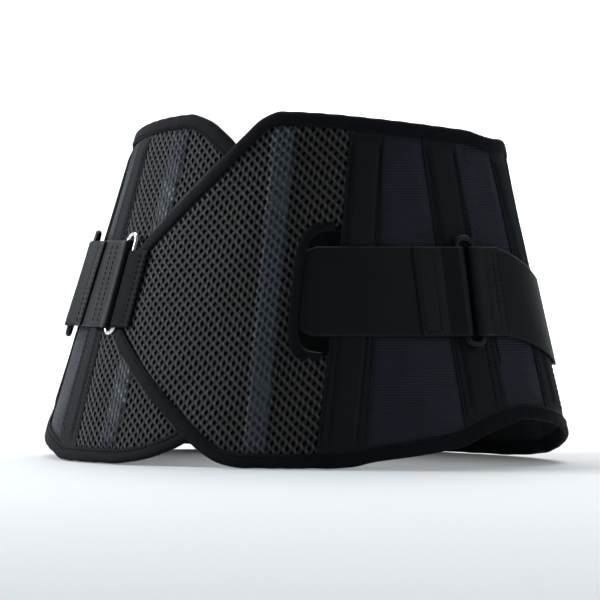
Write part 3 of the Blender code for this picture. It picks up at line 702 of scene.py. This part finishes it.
def slot_tape():
    """Binding round the slot of the right back panel, from the seam tape back to it."""
    turn = np.radians(88.5) * np.linspace(-1.0, 1.0, 90)
    across = np.abs(np.cos(turn)) ** SLOT_ROUND
    up = np.copysign(np.abs(np.sin(turn)) ** SLOT_ROUND, turn)
    height = STRAP_HEIGHT[1] + SLOT_HALF * up
    radius = BACK_RADIUS + flare(SEAM_TAPE[0], height)
    base = raised(1, SEAM_TAPE[0] - np.degrees(SLOT_WIDE * across / radius))
    made, long = folded("slot_binding_tape", HALVES[1], 1, SEAM_TAPE[0], height, -SLOT_WIDE * across,
                        -across, up, SLOT_BINDING, 0.0047, inside=False, base=base[:, None])
    return made


# --- tapes over the stays
def tape(name, side, word, span):
    """Woven tape sewn down on both sides of its stay, and a thin backing behind the stay."""
    columns = 96
    angle, low, high, height = panel_grid(mix(*span, np.linspace(0.0, 1.0, columns + 1)[:, None]), 90)
    x = way_across(side, angle, height)
    half = x[-1:] / 2.0
    x = x - half
    edge = half - np.abs(x)
    ends = edge_distance(angle, height)
    press = puff(ends, 0.006)
    channel = smooth((0.0078 - np.abs(x)) / 0.0022) * puff(ends - 0.002, 0.008)
    grooves = hump(np.abs(x), STAY_SEAM, 0.0007) + hump(edge, EDGE_SEAM, 0.0007)
    ribs = 0.00007 * np.cos(2.0 * math.pi * x / 0.00115)
    bulge = 0.00045 + 0.00085 * channel - 0.00035 * grooves + 0.5 * wrinkle(side, angle, height)
    out = 0.0018 + press * bulge
    out = out + ribs * np.clip(press + 0.3, 0.0, 1.0) - 0.0004 * smooth(1.0 - edge / 0.0008)
    thin = np.maximum(out - 0.0008, 0.00135)
    uv = np.stack([x, height], -1)
    lift = raised(side, angle)
    outer = at(side, angle, height, out + lift)
    inner = at(side, angle, height, np.minimum(thin, out - 0.0004) + lift)
    made = closed(outer, inner, uv, "webbing", f"{name}_tape_cloth_{word}")
    backing = (at(side, angle, height, lift + shift)[::4, ::3] for shift in (0.00022, -0.00030))
    back = closed(*backing, uv[::4, ::3], "webbing", f"{name}_backing_{word}")
    seams = ((columns // 2, -STAY_SEAM), (columns // 2, STAY_SEAM), (0, EDGE_SEAM), (columns, -EDGE_SEAM))
    for column, shift in seams:
        row_height = mix(low[column, 0], high[column, 0], np.linspace(0.06, 0.94, 70))
        own = angle[column, 0]
        surface_row(HALVES[side], side, own, row_height, 0.0021 + raised(side, own), shift)
    for piece in (made, back):
        cut_size(outer)
    return made, back


def power_mesh(name, side, word, first, last):
    """Ribbed elastic mesh between two tapes, running a little way under both."""
    u = np.linspace(0.0, 1.0, 45)[:, None]
    angle, _, _, height = panel_grid(mix(first, last, u), 520)
    x = way_across(side, angle, height)
    along = (2.0 * u - 1.0) * 0.0030
    inner_edge = np.minimum(x, x[-1:] - x)
    press = puff(edge_distance(angle, height)) * puff(inner_edge - 0.001, 0.006)
    ribs = 0.00016 * np.cos(2.0 * math.pi * height / 0.0016)
    knit = 0.00006 * np.cos(2.0 * math.pi * x / 0.0021) * np.sin(2.0 * math.pi * height / 0.0016)
    folds = 0.0007 * np.sin(math.pi * u) * np.sin(70.0 * height + 5.0 * u + side) * np.sin(18.0 * height + 1.0)
    out = 0.0010 + press * (0.0005 + folds + wrinkle(side, angle, height)) + ribs + knit
    uv = np.stack([x, height], -1)
    outer = at(side, angle, height, out, along)
    inner = at(side, angle, height, out - 0.0005, along)
    made = closed(outer, inner, uv, "power_mesh", f"{name}_elastic_{word}")
    cut_size(outer)
    return made


def pocket(side, word):
    """Inner pocket of the back stay."""
    u, v = np.linspace(-0.5, 0.5, 21)[:, None], np.linspace(0.0, 1.0, 61)[None]
    low = float(bottom_edge(BACK_STAY_ANGLE)) + BINDING + 0.008
    high = float(top_edge(BACK_STAY_ANGLE)) - BINDING - 0.008
    height, x = grids(mix(low, high, v), POCKET_WIDE * u)
    lift = float(raised(side, BACK_STAY_ANGLE))
    ribs = 0.00004 * np.cos(2.0 * math.pi * x / 0.0013)

    def place(heights, out, along):
        return at(side, BACK_STAY_ANGLE, heights, lift + out, along)

    faces = place(height, -0.0001, x), place(height, ribs - 0.0007, x)
    made = closed(*faces, np.stack([x, height], -1), "webbing", f"stay_pocket_{word}")
    rows = mix(low, high, np.linspace(0.02, 0.98, 60))
    for shift in (-0.0085, 0.0085):
        line = place(rows, -0.0008, shift)
        stitch_row(HALVES[side], line, place(rows, -0.0028, shift) - line)
    return made


# --- front flaps
def flap_corner(side):
    radius = float(arc(180.0)[2]) + FRONT_FLARE / 2.0
    return FLAP_END[side] - math.degrees(CORNER / radius)


def front_panel(side, word):
    """Brushed loop cloth of a front flap, with two round corners."""
    corner = flap_corner(side)
    straight, turning, rows = 110, 10, 100
    under = 0.003
    inner = CORNER - BINDING + under
    cell = np.arange(straight + turning + 1)[:, None]
    turn = math.pi / 2.0 * np.maximum(cell - straight, 0.0) / turning
    along, off = inner * np.sin(turn), inner * (1.0 - np.cos(turn))
    angle = mix(FRONT_TAPE[1] - 0.6, corner, np.minimum(cell / straight, 1.0))
    angle, low, high, height = panel_grid(angle, rows, under, off)
    near = np.minimum(height - low, high - height) - 0.003
    press = puff(near) * puff((angle - FRONT_TAPE[1]) * 0.0016) * puff((corner - angle) * 0.0026 + 0.003)
    pile = np.sin(1066.0 * np.radians(angle) + 3.0 * np.sin(900.0 * height)) * np.sin(4700.0 * height)
    out = 0.0016 + press * (0.0007 + 1.6 * wrinkle(side, angle, height) + 0.00012 * pile) + raised(side, angle)
    uv = np.stack([np.radians(angle) * 0.14 + along, height], -1)
    back = raised(side, angle) + 0.0003
    made = cloth("flap_cloth_" + word, "plush", side, angle, height, out, back, along, uv)
    return made


def flap_tape(side, word):
    """Binding round the free edge of a flap."""
    corner = flap_corner(side)
    edge = np.linspace(FRONT_TAPE[1], corner, 70)
    quarter = np.radians(np.linspace(0.0, 90.0, 12))
    high, low = float(top_edge(corner)) - CORNER, float(bottom_edge(corner)) + CORNER
    turn, back = quarter[1:], quarter[::-1][:-1]
    parts = [
        (edge, top_edge(edge), 0.0, 0.0, -inset(top_edge, edge, 1.0)),
        (corner, high + CORNER * np.cos(turn), CORNER * np.sin(turn), -np.sin(turn), -np.cos(turn)),
        (corner, np.linspace(high, low, 40)[1:-1], CORNER, -1.0, 0.0),
        (corner, low - CORNER * np.cos(back), CORNER * np.sin(back), -np.sin(back), np.cos(back)),
        (edge[::-1], bottom_edge(edge[::-1]), 0.0, 0.0, inset(bottom_edge, edge[::-1], 1.0)),
    ]
    columns = np.concatenate([grids(*part) for part in parts], axis=1)
    made, long = folded("flap_tape_" + word, FLAPS[side], side, *columns)
    return made


def hinge_ends(side):
    """Points just before and after a flap's hinge, square to its axis."""
    out = 0.0033
    foot = at(side, 103.0, bottom_edge(103.0), out)
    head = at(side, 103.0, top_edge(103.0), out)
    middle, axis = (foot + head) / 2.0, unit(head - foot)
    way = at(side, 104.0, 0.1, out) - at(side, 102.0, 0.1, out)
    way = unit(way - axis * (way @ axis))
    return middle - 0.0030 * way, middle + 0.0060 * way


def bristles(columns, rows, spacing, tall):
    """Fine bumps of a hook or loop field."""
    return tall * np.sin(spacing * np.arange(columns))[:, None] * np.sin(spacing * np.arange(rows))[None]


def patch(name, side, span, layer, half, look):
    """Hook or loop field of the front closure, rough on the face that meets the other flap."""
    u, v = sheet_shares(60, 80)
    angle, height = grids(mix(*span, u), PATCH_HEIGHT + half * v)
    dots = bristles(60, 80, 2.6, 0.00018)
    inner, outer = (layer[0] + dots - 0.0002, layer[1]) if side > 0 else (layer[0], layer[1] + dots)
    made = cloth(name, look, side, angle, height, outer, inner)
    if side < 0:
        for row_angle in (span[0] + 0.6, span[1] - 0.6):
            rows = PATCH_HEIGHT + half * np.linspace(-0.97, 0.97, 50)
            surface_row(FLAPS[side], side, row_angle, rows, layer[1] + 0.0001)
    return made


# --- rings
def ring(name, side, angle, wide, tall, out, wire, look, flat=1.0):
    """Rounded rectangle of wire or moulded bar, standing upright on the body."""
    corner = min(wide, 0.011) * 0.45
    turns = [np.radians(90.0 * quarter + np.linspace(0.0, 90.0, 9)) for quarter in range(4)]
    arcs = [np.stack([east * (wide / 2.0 - corner) + corner * np.cos(turn),
                      north * (tall / 2.0 - corner) + corner * np.sin(turn)], -1)
            for east, north, turn in zip((1, -1, -1, 1), (1, 1, -1, -1), turns)]
    path = []
    for points, after, count in zip(arcs, arcs[1:] + arcs[:1], (8, 26, 8, 26)):
        path += [points, mix(points[-1], after[0], np.linspace(0.0, 1.0, count)[1:-1, None])]
    shift, rise = np.concatenate(path).T
    line = upright(side, angle, STRAP_HEIGHT[side] + rise, out, shift)
    normal = upright(side, angle, STRAP_HEIGHT[side] + rise, out + 0.003, shift) - line
    parts = tube_parts(line, normal, 2.0 * wire, 2.0 * wire * flat, sides=16, wrap=True)
    return mesh_object(name, *parts, look)


# --- straps
def turned(angle, shift, radius, out, forward):
    """A little over half a turn round a bar."""
    turn = (math.pi + WRAP) * np.arange(10) / 9.0
    return [(angle, shift + forward * radius * math.sin(t), out - radius * math.cos(t)) for t in turn]


def run(first, last):
    """Level points between two angles."""
    count = round(abs(last - first) / 2.6)
    return [(mix(first, last, index / count), 0.0, STRAP_OUT) for index in range(count + 1)]


def folded_end(angle, shift, out, wire, forward, tail):
    """A strap's end, turned round a bar and laid back on the strap."""
    path = turned(angle, shift, wire + GAP + STRAP / 2.0, out, forward)
    path.append((angle, shift - forward * 0.009, FOLDED_OUT + GAP))
    return path + [(angle, shift - forward * mix(0.012, tail, index / 3), FOLDED_OUT) for index in range(4)]


def finer(path, parts=5):
    """Rounded points between the given ones."""
    path = np.asarray(path, float)
    padded_path = np.concatenate([[2 * path[0] - path[1]], path, [2 * path[-1] - path[-2]]])
    t = (np.arange(parts) / parts)[:, None]
    pieces = []
    for a, b, c, d in zip(padded_path, padded_path[1:], padded_path[2:], padded_path[3:]):
        pieces.append(0.5 * (2 * b + (c - a) * t + (2 * a - 5 * b + 4 * c - d) * t ** 2
                             + (3 * b - a - 3 * c + d) * t ** 3))
    return np.concatenate([*pieces, path[-1:]])


def band(name, side, path, middle, half, thick, look, waves=1.0):
    """Strap along a path of (angle, along, out) points, with rounded selvedges, and its length."""
    cells = 40
    angle, shift, out = finer(path).T
    radius = BACK_RADIUS + flare(angle, STRAP_HEIGHT[side])
    line = np.stack([np.radians(angle) * radius + shift, out], -1)
    way = unit(np.gradient(line, axis=0))
    long = distance_along(line)
    v = np.linspace(-1.0, 1.0, cells + 1)[None]
    halves, middles = (np.broadcast_to(value, angle.shape)[:, None] for value in (half(angle), middle(angle)))
    inward = (1.0 - np.abs(v)) * halves
    rounding = np.sqrt(np.clip(inward / 0.0009, 0.0, 1.0)) * 0.75 + 0.25
    selvedge = 1.0 + 0.10 * hump(inward, 0.0016, 0.0006) - 0.18 * hump(inward, 0.0030, 0.0006)
    rows, columns = np.arange(len(angle))[:, None], np.arange(cells + 1)[None]
    rough = 1.0 + 0.05 * np.sin(0.9 * rows) * np.sin(7.3 * columns)
    thickness = thick * rounding * selvedge
    slow = waves * 0.00022 * np.sin(38.0 * long)[:, None] * np.sin(2.2 * v + 0.6)
    ripple = waves * 0.00010 * np.sin(160.0 * long)[:, None] * (np.abs(v) ** 4)
    faces = []
    for w in (0.5, -0.5):
        offset = w * thickness * rough + slow + ripple
        height = middles + halves * v
        faces.append(upright(side, angle[:, None], height, out[:, None] + way[:, :1] * offset,
                             shift[:, None] - way[:, 1:] * offset))
    uv = np.stack(np.broadcast_arrays(long[:, None], v * STRAP_HALF), -1)
    return closed(*faces, uv, look, name), float(long[-1])


def strap_rows(body, side, angle, shift, out, half, middle, inset_by=0.003):
    """A line of stitches across a strap."""
    rows = middle + np.linspace(-1.0, 1.0, 24) * (half - inset_by)
    surface_row(body, side, angle, rows, out, shift, upright)


def cross_strap(side, word):
    """Strap from the other half to the side ring, folded round the ring's rear bar."""
    rear = -RING_WIDE / 2.0
    body, height = HOLDERS[side], STRAP_HEIGHT[side]
    if side > 0:
        inner = 0.0033
        path = [(-TIP[-1] - 1.6, 0.0, inner), (-TIP[-1] - 0.6, 0.0, inner)]
        for share in np.linspace(0.0, 1.0, 5):
            path.append((mix(*STRAP_RISE, share), 0.0, mix(inner, STRAP_OUT, float(smooth(share)))))
        path += run(STRAP_RISE[1] + BAR_CLEARANCE, RING_ANGLE - BAR_CLEARANCE)
    else:
        start = folded_end(TIP_RING_ANGLE, TIP_RING_WIDE / 2.0, TIP_RING_OUT, TIP_RING_WIRE, -1, SHORT_TAIL)
        path = start[::-1] + run(TIP_RING_ANGLE + BAR_CLEARANCE, RING_ANGLE - BAR_CLEARANCE)
    path += folded_end(RING_ANGLE, rear, RING_OUT, RING_WIRE, 1, LONG_TAIL)

    def half(angle):
        return STRAP_HALF * (mix(0.8, 1.0, ramp(angle, (STRAP_ROOT, STRAP_RISE[1]))) if side > 0 else 1.0)

    made, long = band("strap_band_" + word, side, path, lambda angle: height, half, STRAP, "strap")
    dress(made, body, "strap_fabric", "cross_strap_" + word)
    top = FOLDED_OUT + STRAP / 2.0
    for back in (LONG_TAIL - 0.0025, 0.0155):
        strap_rows(body, side, RING_ANGLE, rear - back, top, STRAP_HALF, height)
    steps = rear - np.linspace(0.0155, LONG_TAIL - 0.0025, 12)
    for edge in (0.003 - STRAP_HALF, STRAP_HALF - 0.003):
        surface_row(body, side, RING_ANGLE, height + edge, top, steps, upright)
    if side < 0:
        for back in (SHORT_TAIL - 0.0025, 0.0155):
            strap_rows(body, side, TIP_RING_ANGLE, TIP_RING_WIDE / 2.0 + back, top, STRAP_HALF, height)


def taper(angle):
    return 1.0 - PULL_TAPER * ramp(angle, PULL_TAPER_ENDS)


def pull_strap(side, word):
    """Strap from the side ring's front bar to the front flap, with its patch of hooks."""
    front = RING_WIDE / 2.0
    start = folded_end(RING_ANGLE, front, RING_OUT, RING_WIRE, -1, SHORT_TAIL)
    path = start[::-1] + run(RING_ANGLE + BAR_CLEARANCE, PULL_END + 0.5)
    body = f"{word}_pull_strap"
    made, long = band("pull_band_" + word, side, path, lambda a: strap_height(side, a),
                      lambda a: STRAP_HALF * taper(a), STRAP, "strap")
    dress(made, body, "strap_fabric", "pull_strap_" + word)
    middle = float(strap_height(side, RING_ANGLE))
    for ahead in (SHORT_TAIL - 0.0025, 0.0145):
        strap_rows(body, side, RING_ANGLE, front + ahead, FOLDED_OUT + STRAP / 2.0, STRAP_HALF, middle)
    u, v = sheet_shares(50, 50)
    angle, v = grids(mix(126.0, PULL_END - 0.8, u), v)
    height = strap_height(side, angle) + (STRAP_HALF - 0.008) * taper(angle) * v
    dots = bristles(50, 50, 2.4, 0.00016)
    outer = STRAP_OUT - STRAP / 2.0 - 0.0001
    hook = cloth("hook_pad_" + word, "hook", side, angle, height, outer, 0.0030 + dots)
    dress(hook, body, "hook_fabric", "strap_hook_" + word)


def pull_tab(side, word):
    """Rounded webbing tab at the end of the pull strap."""
    u, v = sheet_shares(40, 41)
    share = mix(u, smooth(u), 0.5)
    angle, share, v = grids(mix(TAB_START - 0.4, TAB_END, share), share, v)
    past = np.maximum(share - 0.5, 0.0) / 0.505
    half = TAB_HALF * np.sqrt(np.clip(1.0 - past * past, 0.0, 1.0))
    height = strap_height(side, angle) + half * v
    rim = np.minimum((1.0 - np.abs(v)) * half, (1.0 - share) * 0.018)
    thick = 0.0011 * np.clip(np.sqrt(np.clip(rim / 0.0012, 0.0, 1.0)), 0.15, 1.0)
    ribs = 0.00008 * np.cos(2.0 * math.pi * height / 0.0012)
    groove = 0.0003 * hump(rim, 0.0028, 0.0006)
    outer, inner = STRAP_OUT + thick + ribs - groove, STRAP_OUT - thick
    made = cloth("tab_cloth_" + word, "webbing", side, angle, height, outer, inner)
    dress(made, f"{word}_pull_tab", "webbing", "pull_tab_" + word)


def tip_loop():
    """Cloth loop that holds the light ring at the right half's tip."""
    bar = -TIP_RING_WIDE / 2.0
    turn = TIP_RING_WIRE + GAP + LOOP / 2.0
    outer = BACK_RAISE + 0.0030 + GAP + LOOP / 2.0
    edge = math.radians(-TIP[1] - TIP_RING_ANGLE) * (BACK_RADIUS + BACK_FLARE / 2.0)
    path = [(TIP_RING_ANGLE, edge + 2.0 * GAP, TIP_RING_OUT - turn)]
    path += turned(TIP_RING_ANGLE, bar, turn, TIP_RING_OUT, 1)
    for back, lift in ((0.006, 0.0006), (0.010, 0.0), (0.017, 0.0)):
        path.append((TIP_RING_ANGLE, bar - back, outer + lift))
    low, high = STRAP_HEIGHT[-1] - STRAP_HALF, TIP_HIGH - 0.002
    middle, half = (low + high) / 2.0, (high - low) / 2.0
    made, long = band("ring_loop", -1, path, lambda a: middle, lambda a: half, LOOP, "binding", waves=0.3)
    dress(made, HALVES[1], "binding_tape", "tip_loop")
    for back in (0.0155, 0.0105):
        strap_rows(HALVES[1], -1, TIP_RING_ANGLE, bar - back, outer + LOOP / 2.0, half, middle, 0.002)


# --- the whole brace
def dress(obj, body, slot, *nodes):
    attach(obj, body)
    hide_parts(*nodes)
    return obj


def build_half(side, word):
    body = HALVES[side]
    made = dress(net(side, word), body, "mesh_fabric", "back_panel_" + word)
    inner = dress(lining(side, word), body, "mesh_fabric", "back_panel_" + word)
    dress(pocket(side, word), body, "webbing", "back_stay_pocket_" + word)
    for name, edge, inward in (("upper", top_edge, -1), ("lower", bottom_edge, 1)):
        made = edge_tape(f"{name}_tape_{word}", body, side, edge, inward)
        dress(made, body, "binding_tape", f"{name}_binding_{word}")
    for name, span in (("seam", SEAM_TAPE), ("side", SIDE_TAPE), ("front", FRONT_TAPE)):
        for piece in tape(name, side, word, span):
            dress(piece, body, "webbing", f"{name}_tape_{word}")
    for name, first, last in (("side", SEAM_TAPE[1], SIDE_TAPE[0]), ("flank", SIDE_TAPE[1], FRONT_TAPE[0])):
        dress(power_mesh(name, side, word, first, last), body, "power_mesh", f"{name}_mesh_{word}")
    start, end = hinge_ends(side)
    for made, look, replaced in ((front_panel(side, word), "strap_fabric", "front_panel_"),
                                 (flap_tape(side, word), "binding_tape", "flap_binding_")):
        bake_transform(made)
        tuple(start)
        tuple(end)
        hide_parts(replaced + word)


def build_straps(side, word):
    cross_strap(side, word)
    pull_strap(side, word)
    pull_tab(side, word)
    sizes = (RING_ANGLE, RING_WIDE, RING_TALL, RING_OUT, RING_WIRE)
    buckle = ring("buckle_" + word, side, *sizes, "plastic", 0.92)
    dress(buckle, f"{word}_side_ring", "black_plastic", "side_ring_" + word)


for side, word in SIDES:
    build_half(side, word)
    build_straps(side, word)
dress(slot_tape(), HALVES[1], "binding_tape", "slot_binding")
sizes = (TIP_RING_ANGLE, TIP_RING_WIDE, TIP_RING_TALL, TIP_RING_OUT, TIP_RING_WIRE)
light = ring("light_ring", -1, *sizes, "metal")
dress(light, HALVES[1], "ring_metal", "tip_ring")
tip_loop()
layer = (FRONT_RAISE - 0.0010, FRONT_RAISE + 0.0001)
dress(patch("hook_field", 1, (182.0, 196.0), layer, 0.055, "hook"),
      FLAPS[1], "hook_fabric", "hook_patch_right")
dress(patch("loop_field", -1, (159.5, 176.5), (0.0022, 0.0035), 0.062, "plush"),
      FLAPS[-1], "strap_fabric", "loop_patch_left")
for body, threads in THREADS.items():
    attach(threads.build("stitching_" + body, "thread"), body)
for name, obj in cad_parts.items():
    if name.split("_")[1] == "stay" and not obj.hide_render:
        obj.data.materials.clear()
        obj.data.materials.append(LOOKS["stay"])


# --- floor, light and camera
def backdrop():
    """Pale floor that curves up into a wall far behind the brace."""
    bend = np.radians(np.linspace(0.0, 90.0, 24))[1:]
    depth = np.concatenate([np.linspace(-6.0, 4.6, 50), 4.6 + 1.2 * np.sin(bend), np.full(6, 5.8)])
    rise = np.concatenate([np.zeros(50), 1.2 - 1.2 * np.cos(bend), np.linspace(1.3, 4.5, 6)])
    wide = np.linspace(-7.0, 7.0, 30)
    turn = math.radians(31.0)
    x = wide[None] + 0.0 * depth[:, None]
    y = depth[:, None] + 0.0 * wide[None]
    points = np.stack([x * math.cos(turn) - y * math.sin(turn), x * math.sin(turn) + y * math.cos(turn),
                       rise[:, None] + 0.0 * x - 0.0006], -1)
    made = mesh_object("floor", points.reshape(-1, 3), grid_quads(len(depth), len(wide)),
                       np.zeros((points[..., 0].size, 2)), "floor")


def floor_look():
    made, tree, shader = new_material("floor")
    place = node(tree, "ShaderNodeTexCoord", {}).outputs["Object"]
    colour = colour_between(tree, noise(tree, place, 1.5, 2.0), (0.84, 0.86, 0.87), (0.88, 0.90, 0.91))
    settle(tree, shader, {"Base Color": colour, "Roughness": 0.9, "Specular IOR Level": 0.1})
    return made


LOOKS["floor"] = floor_look()
backdrop()


def direction(azimuth, elevation):
    """Unit vector from the brace; azimuth 0 is straight behind the wearer."""
    level = math.cos(elevation)
    return Vector((math.sin(azimuth) * level, -math.cos(azimuth) * level, math.sin(elevation)))


def lamp(name, azimuth, elevation, distance, size, power, colour, aim=(0.0, 0.0, 0.11)):
    data = bpy.data.lights.new(name, "AREA")
    data.shape = "SQUARE"
    data.size, data.energy, data.color = size, power, colour
    made = bpy.data.objects.new(name, data)
    place = direction(math.radians(azimuth), math.radians(elevation))
    made.location = Vector(aim) + distance * place
    made.rotation_euler = place.to_track_quat("Z", "Y").to_euler()
    made.visible_camera = False
    bpy.context.scene.collection.objects.link(made)


BEHIND = Vector((-math.sin(math.radians(31.0)), math.cos(math.radians(31.0)), 0.0))
lamp("key", -74.0, 26.0, 2.0, 0.6, 29.0, (0.90, 0.95, 1.0))
lamp("back", 205.0, 35.0, 2.4, 1.5, 14.0, (1.0, 1.0, 1.0))
lamp("fill", 82.0, 22.0, 2.2, 1.0, 8.0, (0.90, 0.95, 1.0))
lamp("above", 211.0, 89.0, 3.2, 4.5, 150.0, (1.0, 1.0, 1.0), aim=2.4 * BEHIND)
lamp("wall", 31.0, 30.0, 3.0, 3.0, 140.0, (1.0, 1.0, 1.0), aim=5.6 * BEHIND + Vector((0.0, 0.0, 0.8)))

world = bpy.data.worlds.new("world")
world.use_nodes = True
world.node_tree.nodes["Background"].inputs["Color"].default_value = (0.93, 0.96, 1.0, 1.0)
world.node_tree.nodes["Background"].inputs["Strength"].default_value = 0.16
bpy.context.scene.world = world

AZIMUTH, ELEVATION, DISTANCE = math.radians(31.0), math.radians(0.4), 2.5
toward = direction(AZIMUTH, ELEVATION)
right = Vector((math.cos(AZIMUTH), math.sin(AZIMUTH), 0.0))
aim = Vector((0.0, 0.0, 0.108)) + 0.0016 * right - Vector((0.0, 0.0, 0.0071))
camera = bpy.data.objects.new("camera", bpy.data.cameras.new("camera"))
camera.data.lens = 234.4
camera.data.sensor_width = 36.0
camera.location = aim + DISTANCE * toward
camera.rotation_euler = toward.to_track_quat("Z", "Y").to_euler()
bpy.context.scene.collection.objects.link(camera)
bpy.context.scene.camera = camera
bpy.context.scene.view_settings.view_transform = "Standard"
